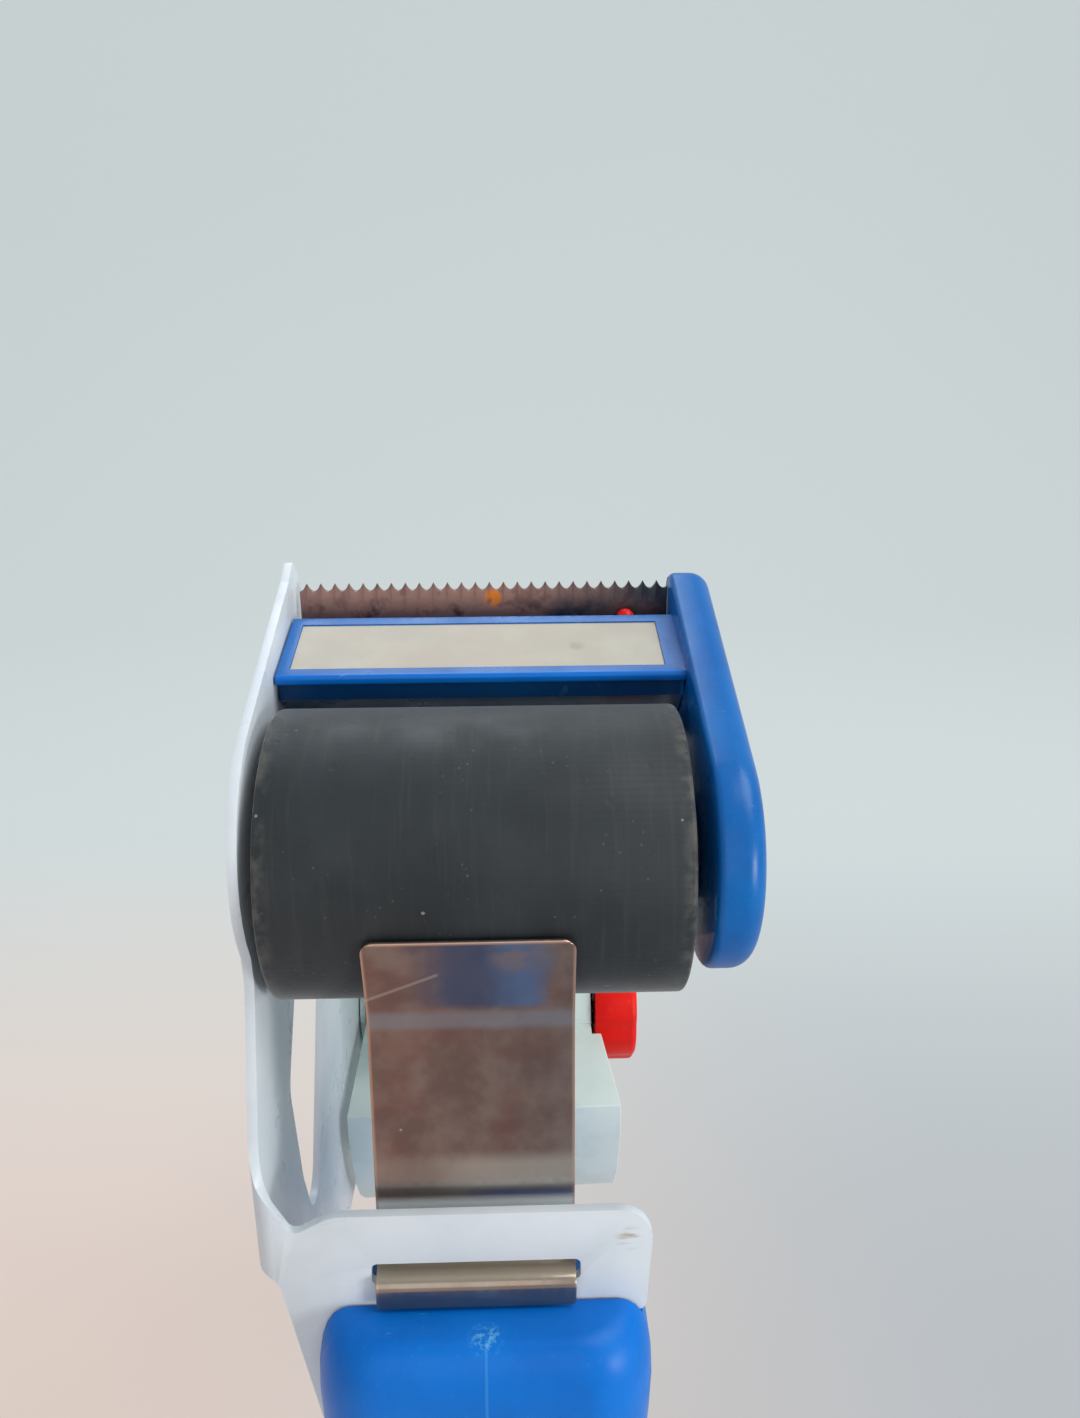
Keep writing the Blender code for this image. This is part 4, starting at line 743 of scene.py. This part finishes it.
# %% Guard's rounded rims and its counterbore
COUNTERBORE_RADIUS = 4.3
COUNTERBORE_DEPTH = 2.5
PAST_THE_FACE = 1.5
for side, size, steps in ((1, OUTER_ROUND, 10), (-1, INNER_ROUND, 4)):
    for step in range(steps):
        before, after = (math.pi / 2 * count / steps for count in (step, step + 1))
        limit = max(vert.co.x * side for vert in bmesh.from_edit_mesh(guard.data).verts)
        pick(guard, "FACE", lambda face: face.calc_center_median().x * side > limit - 0.001 * MM)
        bpy.ops.mesh.inset(
            thickness=size * (math.cos(before) - math.cos(after)) * MM,
            depth=size * (math.sin(after) - math.sin(before)) * MM,
        )
bpy.ops.object.mode_set(mode="OBJECT")
bpy.ops.mesh.primitive_cylinder_add(
    vertices=48, radius=COUNTERBORE_RADIUS * MM, depth=(COUNTERBORE_DEPTH + PAST_THE_FACE) * MM,
    location=at(GUARD_OUTER + (PAST_THE_FACE - COUNTERBORE_DEPTH) / 2, 0, 0), rotation=ALONG_X,
)
cut(guard, started("counterbore"))
print("guard:", len(guard.data.polygons), "faces")

# %% Bar, and both joined into one moulding
BAR_ROUND = 0.28
BAR_SHORT_OF_GUARD = 0.05
BAR_END = GUARD_INNER - BAR_SHORT_OF_GUARD
BAR_INTO_GUARD = 0.6
bar = merged_copy("cutter_head", "cutter_moulding")
pick(bar, "FACE", lambda face: True)
bpy.ops.mesh.bisect(
    plane_co=(BAR_END * MM, 0, 0), plane_no=(1, 0, 0), use_fill=True, clear_outer=True
)
bpy.ops.object.mode_set(mode="OBJECT")
soften(bar, BAR_ROUND * MM, 3, 40)
pick(bar, "FACE", lambda face: (
    face.normal.x > 0.9 and face.calc_center_median().x > BAR_END * MM - 5 * TOUCH
))
bpy.ops.transform.translate(value=(BAR_INTO_GUARD * MM, 0, 0))
bpy.ops.object.mode_set(mode="OBJECT")
only(bar)
guard.select_set(True)
bpy.ops.object.join()
finished(bar, 40)
hand_over(bar, "frame", "blue_plastic", "cutter_head")

# %% [markdown]
# ## The bare strip in the bar
#
# On the real bar the strip is stuck down flush, so no gap shows round it. The packed strip has
# a small gap for its fit. A copy has its four sides moved out until they meet the recess.

# %% Bare strip
STRIP_GAP = 0.26 * MM
SHORT_OF_ANY_SIDE = 5 * MM
strip = merged_copy("label_strip", "bare_strip")
strip_low, strip_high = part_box("label_strip")
strip_middle = (strip_low + strip_high) / 2
along_bar = Vector((0, math.cos(BAR_TILT), math.sin(BAR_TILT)))
for direction in (Vector((1, 0, 0)), Vector((-1, 0, 0)), along_bar, -along_bar):
    pick(strip, "VERT", lambda vert, direction=direction: (
        (vert.co - strip_middle).dot(direction) > SHORT_OF_ANY_SIDE
    ))
    bpy.ops.transform.translate(value=direction * STRIP_GAP)
finished(strip)
hand_over(strip, "frame", "bare_label", "label_strip")

# %% [markdown]
# ## The serrated blade
#
# The blade has 26 teeth with round valleys. A long grid has eight columns to a tooth, and the
# vertices of its top row are lowered column by column along a curve, which leaves sharp tips
# and round valleys. Solidify gives it the sheet's thickness.

# %% Blade
TEETH = 26
STEPS = 8
BLADE_LEFT = -26.6
TOOTHED_LENGTH = 53.9
TOOTH_PITCH = TOOTHED_LENGTH / TEETH
TOOTH_DEPTH = 1.15
VALLEY_CURVE = 2.1
COLUMNS = TEETH * STEPS + 2
BLADE_FOOT = 10.2
BLADE_BEHIND = 29.6
BLADE_GAUGE = 0.8
BLADE_ROUND = 0.10
blade_length = TOOTH_PITCH * COLUMNS / STEPS
bpy.ops.mesh.primitive_grid_add(
    x_subdivisions=COLUMNS, y_subdivisions=6, size=1,
    location=at(BLADE_LEFT + blade_length / 2, -BLADE_BEHIND, (BLADE_TOP + BLADE_FOOT) / 2),
    rotation=(math.pi / 2, 0, 0),
)
bpy.context.object.scale = (blade_length * MM, (BLADE_TOP - BLADE_FOOT) * MM, 1)
blade = started("serrated_blade")
top = at(0, 0, BLADE_TOP).z
for phase in range(STEPS // 2):
    rise = (phase / (STEPS / 2)) ** VALLEY_CURVE

    def on_phase(vert, phase=phase):
        column = round((vert.co.x / MM - BLADE_LEFT) / TOOTH_PITCH * STEPS) % STEPS
        return vert.co.z > top - TOUCH and min(column, STEPS - column) == phase

    pick(blade, "VERT", on_phase)
    bpy.ops.transform.translate(value=(0, 0, -TOOTH_DEPTH * MM * (1 - rise)))
bpy.ops.object.mode_set(mode="OBJECT")
shape(blade, "SOLIDIFY", "gauge", thickness=BLADE_GAUGE * MM, offset=0)
soften(blade, BLADE_ROUND * MM, 2, 40)
finished(blade, 30)
hand_over(blade, "frame", "blade_steel", "cutter_blade")

# %% [markdown]
# ## The handle
#
# The handle is a soft rectangle that swells and narrows along its length. A plane with rounded
# corners is extruded level by level and resized at each, and the last levels draw in quickly to
# round the top. A deep slot takes the frame's tang, a shallow one beside it takes the flange's
# foot, and a counterbore takes the screw at the back.

# %% Handle levels
HANDLE_WIDTH = 42.6
HANDLE_DEPTH = 28.0
HANDLE_CORNER = 7.6
# Each level's height, and its shares of the width and the depth.
LEVELS = [
    (0.0, 0.87, 0.85), (0.8, 0.915, 0.91), (2.2, 0.95, 0.955), (4.5, 0.972, 0.985),
    (12.0, 0.978, 1.01), (26.0, 0.98, 1.04), (42.0, 0.965, 1.01), (58.0, 0.935, 0.955),
    (74.0, 0.94, 0.955), (90.0, 0.962, 0.98), (102.0, 0.992, 1.0), (107.0, 1.0, 1.0),
    (110.6, 0.992, 0.985), (113.2, 0.972, 0.95), (115.2, 0.94, 0.895), (116.5, 0.90, 0.83),
    (117.2, 0.855, 0.765), (HANDLE_TOP, 0.80, 0.70),
]
first_wide, first_deep = LEVELS[0][1:]
bpy.ops.mesh.primitive_plane_add(size=1, location=(0, 0, 0))
bpy.context.object.scale = (HANDLE_WIDTH * first_wide * MM, HANDLE_DEPTH * first_deep * MM, 1)
handle = started("moulded_handle")
pick(handle, "VERT", lambda vert: True)
bpy.ops.mesh.bevel(offset=HANDLE_CORNER * MM, segments=12, affect="VERTICES")
for (low, wide, deep), (high, wide_next, deep_next) in zip(LEVELS, LEVELS[1:]):
    pick(handle, "FACE", lambda face, low=low: all(
        abs(vert.co.z - low * MM) < TOUCH for vert in face.verts
    ))
    bpy.ops.mesh.extrude_region_move(TRANSFORM_OT_translate={"value": (0, 0, (high - low) * MM)})
    bpy.ops.transform.resize(
        value=(wide_next / wide, deep_next / deep, 1), center_override=(0, 0, high * MM)
    )
bpy.ops.object.mode_set(mode="OBJECT")
print("handle levels:", len(LEVELS))

# %% Handle's foot and slots
SLOT_BACK = -3.9
SLOT_WIDTH = 1.8
ABOVE_HANDLE = 119.0
TANG_LEFT, TANG_RIGHT, TANG_FOOT = -30.3, 15.3, 105.0
TANG_SLANT = 12.0
FLANGE_LEFT, FLANGE_RIGHT, FLANGE_FOOT = 15.2, 21.3, 115.0


def slot_tool(name, left, right, foot):
    """A flat box that reaches from a slot's foot to above the handle."""
    middle = Vector(((left + right) / 2, SLOT_BACK, (foot + ABOVE_HANDLE) / 2))
    bpy.ops.mesh.primitive_cube_add(size=1, location=middle * MM)
    bpy.context.object.scale = Vector((right - left, SLOT_WIDTH, ABOVE_HANDLE - foot)) * MM
    return started(name)


pick(handle, "EDGE", lambda edge: edge.is_boundary)
bpy.ops.mesh.edge_face_add()
finished(handle)
tang_slot = slot_tool("tang_slot", TANG_LEFT, TANG_RIGHT, TANG_FOOT)
pick(tang_slot, "VERT", lambda vert: vert.co.z < (TANG_FOOT + 5) * MM and vert.co.x < 0)
bpy.ops.transform.translate(value=(TANG_SLANT * MM, 0, 0))
bpy.ops.object.mode_set(mode="OBJECT")
cut(handle, tang_slot)
cut(handle, slot_tool("flange_slot", FLANGE_LEFT, FLANGE_RIGHT, FLANGE_FOOT))
print("handle with slots:", len(handle.data.polygons), "faces")

# %% Handle's counterbore at the back
BORE_RADIUS = 3.5
BORE_FRONT, BORE_BACK = 11.0, 19.0
BORE_LEVEL = 75.5
bpy.ops.mesh.primitive_cylinder_add(
    vertices=32, radius=BORE_RADIUS * MM, depth=(BORE_BACK - BORE_FRONT) * MM,
    location=(0, (BORE_FRONT + BORE_BACK) / 2 * MM, BORE_LEVEL * MM), rotation=(math.pi / 2, 0, 0),
)
cut(handle, started("screw_bore"))
finished(handle, 40)
hand_over(handle, "frame", "blue_plastic", "handle_grip")
handle.data.materials[0] = handle_finish

# %% [markdown]
# ## The spring-steel flap
#
# The flap is one strip, hooked through the flange's slot and bent twice more on its way up to
# the roller. A single plane is extruded from corner to corner, each corner's edge is bevelled
# into a bend, the free corners are rounded and Solidify gives the gauge.

# %% Flap's path and bends
FLAP_GAUGE = 0.5
FLAP_ROUND = 0.14
# Corners from the hooked lip up to the tip, back and up in millimetres.
FLAP_PATH = [
    (-5.8, 118.1), (-5.8, 121.65), (-1.2, 122.75),
    (-1.2, FLAP_FOOT_BEND), (0.8, FLAP_TOP_BEND), (-1.795, FLAP_TIP),
]
# Which corner is bent, how far back the bend reaches, and its segments.
FLAP_BENDS = [(1, 0.86, 8), (2, 0.86, 8), (3, 1.6, 8), (4, 2.4, 12)]
# Which corner's two points are rounded, and how far.
FLAP_CORNERS = [(0, 0.4), (5, 1.6)]


def on_corner(index):
    """A test for points on one corner of the flap's path."""
    corner = Vector(FLAP_PATH[index]) * MM
    return lambda co: (co.yz - corner).length < 2 * TOUCH


(lip_back, lip_foot), (_, lip_top) = FLAP_PATH[:2]
bpy.ops.mesh.primitive_plane_add(
    size=1, location=Vector((FLAP_CENTRE, lip_back, (lip_foot + lip_top) / 2)) * MM,
    rotation=(math.pi / 2, 0, 0),
)
bpy.context.object.scale = (2 * FLAP_HALF * MM, (lip_top - lip_foot) * MM, 1)
flap = started("spring_flap")
for index, (start, end) in enumerate(zip(FLAP_PATH[1:], FLAP_PATH[2:]), start=1):
    pick(flap, "EDGE", edge_where(on_corner(index)))
    step = (Vector(end) - Vector(start)) * MM
    bpy.ops.mesh.extrude_region_move(TRANSFORM_OT_translate={"value": (0, step.x, step.y)})
print("flap path:", len(FLAP_PATH), "corners")

# %% Flap's bends, corners and gauge
for index, size, segments in FLAP_BENDS:
    pick(flap, "EDGE", edge_where(on_corner(index)))
    bpy.ops.mesh.bevel(offset=size * MM, segments=segments, affect="EDGES")
for index, size in FLAP_CORNERS:
    test = on_corner(index)
    pick(flap, "VERT", lambda vert, test=test: test(vert.co))
    bpy.ops.mesh.bevel(offset=size * MM, segments=6, affect="VERTICES")
bpy.ops.object.mode_set(mode="OBJECT")
finished(flap)
shape(flap, "SOLIDIFY", "gauge", thickness=FLAP_GAUGE * MM, offset=0)
soften(flap, FLAP_ROUND * MM, 3, 50)
finished(flap, 40)
hand_over(flap, "flap", "bright_steel", "tape_flap")

# %% [markdown]
# ## The hub
#
# The hub's curved wings grip the tape's core. The packed node has their true outline, so a
# merged copy is enough, with the soft edges of a moulding. A short tube is joined to it, as the
# collar that stands round the brake's spring.

# %% Hub
HUB_ROUND = 0.45
COLLAR_LEFT, COLLAR_RIGHT = 11.0, 19.5
COLLAR_RADIUS = 11.6
COLLAR_WALL = 1.6
hub = merged_copy("hub_core", "hub_wings")
soften(hub, HUB_ROUND * MM, 3, 30)
collar_centre = HUB_AXIS + Vector(((COLLAR_LEFT + COLLAR_RIGHT) / 2 * MM, 0, 0))
bpy.ops.mesh.primitive_cylinder_add(
    vertices=72, radius=COLLAR_RADIUS * MM, depth=(COLLAR_RIGHT - COLLAR_LEFT) * MM,
    location=collar_centre, rotation=ALONG_X,
)
collar = started("brake_collar")
bored(collar, COLLAR_WALL * MM)
finished(collar)
only(hub)
collar.select_set(True)
bpy.ops.object.join()
finished(hub, 40)
hand_over(hub, "hub", "mint_plastic", "hub_core")

# %% [markdown]
# ## The brake knob
#
# A short cylinder with eight shallow scallops for the fingers. Its side points are drawn in
# towards the axis, deepest in the middle of each scallop. The outer rim is rounded, the face
# gets a shallow dish and the inner end is recessed for the spring.

# %% Knob
KNOB_RADIUS = 13.0 * MM
KNOB_LEFT, KNOB_RIGHT = 20.4, 28.8
DISH_RIM, DISH_DEPTH = 3.2, 0.6
POCKET_WALL, POCKET_DEPTH = 4.6, 3.6
KNOB_RIM_ROUND = 1.2
KNOB_ROUND = 0.25
SCALLOPS = 8
SIDES_TO_A_SCALLOP = 16
KNOB_SIDES = SCALLOPS * SIDES_TO_A_SCALLOP
SCALLOP_SHARE = 0.045
knob_centre = HUB_AXIS + Vector(((KNOB_LEFT + KNOB_RIGHT) / 2 * MM, 0, 0))
bpy.ops.mesh.primitive_cylinder_add(
    vertices=KNOB_SIDES, radius=KNOB_RADIUS, depth=(KNOB_RIGHT - KNOB_LEFT) * MM,
    location=knob_centre, rotation=ALONG_X,
)
knob = started("scalloped_knob")
pick(knob, "FACE", lambda face: face.normal.x > 0.9)
bpy.ops.mesh.inset(thickness=DISH_RIM * MM)
bpy.ops.mesh.extrude_region_move(TRANSFORM_OT_translate={"value": (-DISH_DEPTH * MM, 0, 0)})
pick(knob, "FACE", lambda face: face.normal.x < -0.9)
bpy.ops.mesh.inset(thickness=POCKET_WALL * MM)
bpy.ops.mesh.extrude_region_move(TRANSFORM_OT_translate={"value": (POCKET_DEPTH * MM, 0, 0)})
print("knob blank:", KNOB_SIDES, "sides")

# %% Knob's scallops and rim
for step in range(SIDES_TO_A_SCALLOP // 2):
    wave = ((1 + math.cos(SCALLOPS * math.tau * step / KNOB_SIDES)) / 2) ** 3

    def in_scallop(vert, step=step):
        side = (vert.co - HUB_AXIS).yz
        if side.length < KNOB_RADIUS - 0.05 * MM:
            return False
        turn = round(math.atan2(side.y, side.x) / math.tau * KNOB_SIDES) % SIDES_TO_A_SCALLOP
        return min(turn, SIDES_TO_A_SCALLOP - turn) == step

    pick(knob, "VERT", in_scallop)
    share = 1 - SCALLOP_SHARE * wave
    bpy.ops.transform.resize(value=(1, share, share), center_override=HUB_AXIS)
pick(knob, "EDGE", edge_where(lambda co: (
    co.x > KNOB_RIGHT * MM - TOUCH and (co - HUB_AXIS).yz.length > KNOB_RADIUS - 1 * MM
)))
bpy.ops.mesh.bevel(offset=KNOB_RIM_ROUND * MM, segments=5, affect="EDGES")
bpy.ops.object.mode_set(mode="OBJECT")
soften(knob, KNOB_ROUND * MM, 2, 60)
finished(knob, 35)
hand_over(knob, "knob", "red_plastic", "brake_knob")

# %% [markdown]
# ## Screws with their drives
#
# Six pan-head screws hold the blade, the head, the axle and the handle. One is modelled: a
# bevelled head with a cross recess and a shank. Its sizes are shares of the head's radius, so
# that the six copies, each with a mesh of its own, can be scaled to the packed screws' heads.

# %% One pan-head screw, its head on the origin and its tip down -Z
HEAD_HEIGHT = 0.55
HEAD_ROUND = 0.32
SHANK_INSET = 0.48
SHANK_LENGTH = 1.6
DRIVE_SIZE = (1.05, 0.2, 0.5)
DRIVE_HEIGHT = 0.5
bpy.ops.mesh.primitive_cylinder_add(
    vertices=48, radius=1, depth=HEAD_HEIGHT, location=(0, 0, HEAD_HEIGHT / 2)
)
pattern = started("pan_head_screw")
pick(pattern, "EDGE", edge_where(lambda co: co.z > HEAD_HEIGHT - 0.01))
bpy.ops.mesh.bevel(offset=HEAD_ROUND, segments=5, affect="EDGES")
pick(pattern, "FACE", lambda face: face.normal.z < -0.9)
bpy.ops.mesh.inset(thickness=SHANK_INSET)
bpy.ops.mesh.extrude_region_move(TRANSFORM_OT_translate={"value": (0, 0, -SHANK_LENGTH)})
bpy.ops.object.mode_set(mode="OBJECT")
for turn in (0, math.pi / 2):
    bpy.ops.mesh.primitive_cube_add(size=1, location=(0, 0, DRIVE_HEIGHT), rotation=(0, 0, turn))
    bpy.context.object.scale = DRIVE_SIZE
    cut(pattern, started("drive"))
print("screw pattern:", len(pattern.data.polygons), "faces")

# %% Place the six screws
REAR = (-math.pi / 2, 0, 0)
LEFT = (0, -math.pi / 2, 0)
SCREWS = [
    ("head_screw_front", LEFT), ("head_screw_rear", LEFT), ("axle_screw", ALONG_X),
    ("blade_screw_left", REAR), ("blade_screw_right", REAR), ("handle_screw", REAR),
]
for node, turn in SCREWS:
    low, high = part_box(node)
    middle = (low + high) / 2
    radius = (high.z - low.z) / 2
    screw = bpy.data.objects.new(node + "_turned", pattern.data.copy())
    bpy.context.scene.collection.objects.link(screw)
    screw.rotation_euler = turn
    outwards = Vector((0, 0, 1))
    outwards.rotate(screw.rotation_euler)
    reach = max(abs(outwards.x) * (high.x - low.x), abs(outwards.y) * (high.y - low.y)) / 2
    screw.scale = (radius, radius, radius)
    screw.location = middle + outwards * (reach - HEAD_HEIGHT * radius)
    only(screw)
    bpy.ops.object.transform_apply(location=True, rotation=True, scale=True)
    finished(screw, 40)
    hand_over(screw, "frame", "zinc_steel", node)
bpy.data.objects.remove(pattern)

# %% [markdown]
# ## Floor, backdrop and light
#
# A pale sweep stands behind the dispenser, so no horizon shows. To the camera and in glossy
# reflections it has a soft tint of its own, cool above and warm at the lower left, and it still
# takes the dispenser's shadow. A large soft lamp stands high on the right, one behind, a small
# one low on the right, as a window would, and a weak one fills the front.

# %% Pale sweep, in metres
SWEEP_WIDTH = 14.0
SWEEP_FRONT, SWEEP_BACK = -1.1, 1.3
SWEEP_HEIGHT = 2.2
SWEEP_ROUND = 0.5
bpy.ops.mesh.primitive_plane_add(size=1, location=(0, (SWEEP_FRONT + SWEEP_BACK) / 2, 0))
bpy.context.object.scale = (SWEEP_WIDTH, SWEEP_BACK - SWEEP_FRONT, 1)
sweep = started("pale_sweep")
pick(sweep, "EDGE", edge_where(lambda co: co.y > 0))
bpy.ops.mesh.extrude_region_move(TRANSFORM_OT_translate={"value": (0, 0, SWEEP_HEIGHT)})
pick(sweep, "EDGE", edge_where(lambda co: co.y > 0 and co.z < TOUCH))
bpy.ops.mesh.bevel(offset=SWEEP_ROUND, segments=24, affect="EDGES")
bpy.ops.object.mode_set(mode="OBJECT")
finished(sweep, 60)
print("sweep:", SWEEP_WIDTH, "m wide")

# %% Finish of the sweep
def sweep_finish():
    """Matt paper that also glows with its own colour to the camera and in reflections."""
    f = Finish("pale_sweep", specular=0.2)
    back = f.ramp(f.axis("Y"), 0.06, 0.42)
    side = f.ramp(f.axis("X"), -0.12, 0.14)
    near_side = f.mix(side, tone(232, 213, 202), tone(184, 189, 193))
    colour = f.mix(back, near_side, tone(213, 222, 222))
    colour = f.mix(f.math("MULTIPLY", f.noise(1.4, 2), 0.15), colour, tone(205, 208, 214))
    f.done(colour, 0.85)
    glow_share = 0.72
    glow = f.add("ShaderNodeEmission", {"Color": colour, "Strength": 1.0}, "Emission")
    rays = f.tree.nodes.new("ShaderNodeLightPath")
    seen = f.math("MAXIMUM", rays.outputs["Is Camera Ray"], rays.outputs["Is Glossy Ray"])
    seen = f.math("MAXIMUM", seen, rays.outputs["Is Transmission Ray"])
    share = f.math("MULTIPLY", seen, glow_share)
    matt = f.shader.outputs["BSDF"]
    surface = f.add("ShaderNodeMixShader", {0: share, 1: matt, 2: glow}, "Shader")
    f.feed(f.tree.nodes["Material Output"].inputs["Surface"], surface)
    return f.material


sweep.data.materials.append(sweep_finish())
print("sweep ready")

# %% Soft world light
world = bpy.data.worlds.new("soft_room")
bpy.context.scene.world = world
world.use_nodes = True
room = world.node_tree
soft_light = room.nodes["Background"]
soft_light.inputs["Color"].default_value = tone(214, 220, 226)
soft_light.inputs["Strength"].default_value = 0.55
backdrop = room.nodes.new("ShaderNodeBackground")
backdrop.inputs["Color"].default_value = tone(207, 216, 217)
rays = room.nodes.new("ShaderNodeLightPath")
seen = rays.outputs["Is Camera Ray"]
for other in ("Is Glossy Ray", "Is Transmission Ray"):
    either = room.nodes.new("ShaderNodeMath")
    either.operation = "MAXIMUM"
    room.links.new(seen, either.inputs[0])
    room.links.new(rays.outputs[other], either.inputs[1])
    seen = either.outputs[0]
choice = room.nodes.new("ShaderNodeMixShader")
room.links.new(seen, choice.inputs[0])
room.links.new(soft_light.outputs[0], choice.inputs[1])
room.links.new(backdrop.outputs[0], choice.inputs[2])
room.links.new(choice.outputs[0], room.nodes["World Output"].inputs["Surface"])
print("room light ready")

# %% Four soft lamps
def lamp(name, place, size, power, colour):
    """A square soft lamp that looks at the roller."""
    data = bpy.data.lights.new(name, "AREA")
    data.size = size
    data.energy = power
    data.color = colour[:3]
    made = bpy.data.objects.new(name, data)
    made.location = place
    made.rotation_euler = (ROLLER_AXIS - made.location).to_track_quat("-Z", "Y").to_euler()
    bpy.context.scene.collection.objects.link(made)


lamp("high_right", (0.55, -0.10, 0.95), 0.55, 5.0, tone(255, 253, 250))
lamp("rear_top", (-0.10, 0.60, 0.95), 0.5, 3.2, tone(240, 246, 255))
lamp("window_right", (0.62, -0.45, 0.16), 0.22, 2.3, tone(255, 252, 248))
lamp("front_fill", (-0.10, -0.80, 0.45), 0.7, 1.3, tone(255, 248, 242))

# %% [markdown]
# ## The camera
#
# The photograph was taken from close in front and above, so its perspective is strong. The
# camera's place and turn were found by matching known edges of the roller, bar and flange.

# %% Camera
IMAGE_HEIGHT = 1418
FOCAL_PIXELS = 1080.0
SENSOR = 36.0
CAMERA_PLACE = Vector((4.179, -110.854, 231.899)) * MM
YAW = math.radians(1.6796)
PITCH = math.radians(18.4374)
ROLL = math.radians(0.2636)
level_forward = Vector((math.sin(YAW), math.cos(YAW), 0))
forward = level_forward * math.cos(PITCH) - Vector((0, 0, math.sin(PITCH)))
level_right = Vector((math.cos(YAW), -math.sin(YAW), 0))
level_up = level_right.cross(forward)
right = level_right * math.cos(ROLL) - level_up * math.sin(ROLL)
up = level_right * math.sin(ROLL) + level_up * math.cos(ROLL)
lens = bpy.data.cameras.new("photo_camera")
lens.sensor_fit = "AUTO"
lens.sensor_width = SENSOR
lens.lens = SENSOR * FOCAL_PIXELS / IMAGE_HEIGHT
lens.clip_start = 0.005
lens.clip_end = 20.0
camera = bpy.data.objects.new("photo_camera", lens)
bpy.context.scene.collection.objects.link(camera)
turn = Matrix((right, up, -forward)).transposed()
camera.matrix_world = Matrix.Translation(CAMERA_PLACE) @ turn.to_4x4()
bpy.context.scene.camera = camera
bpy.context.scene.view_settings.view_transform = "Standard"
print("lens", round(lens.lens, 2), "mm")

# %% Clear the selection
bpy.ops.object.select_all(action="DESELECT")
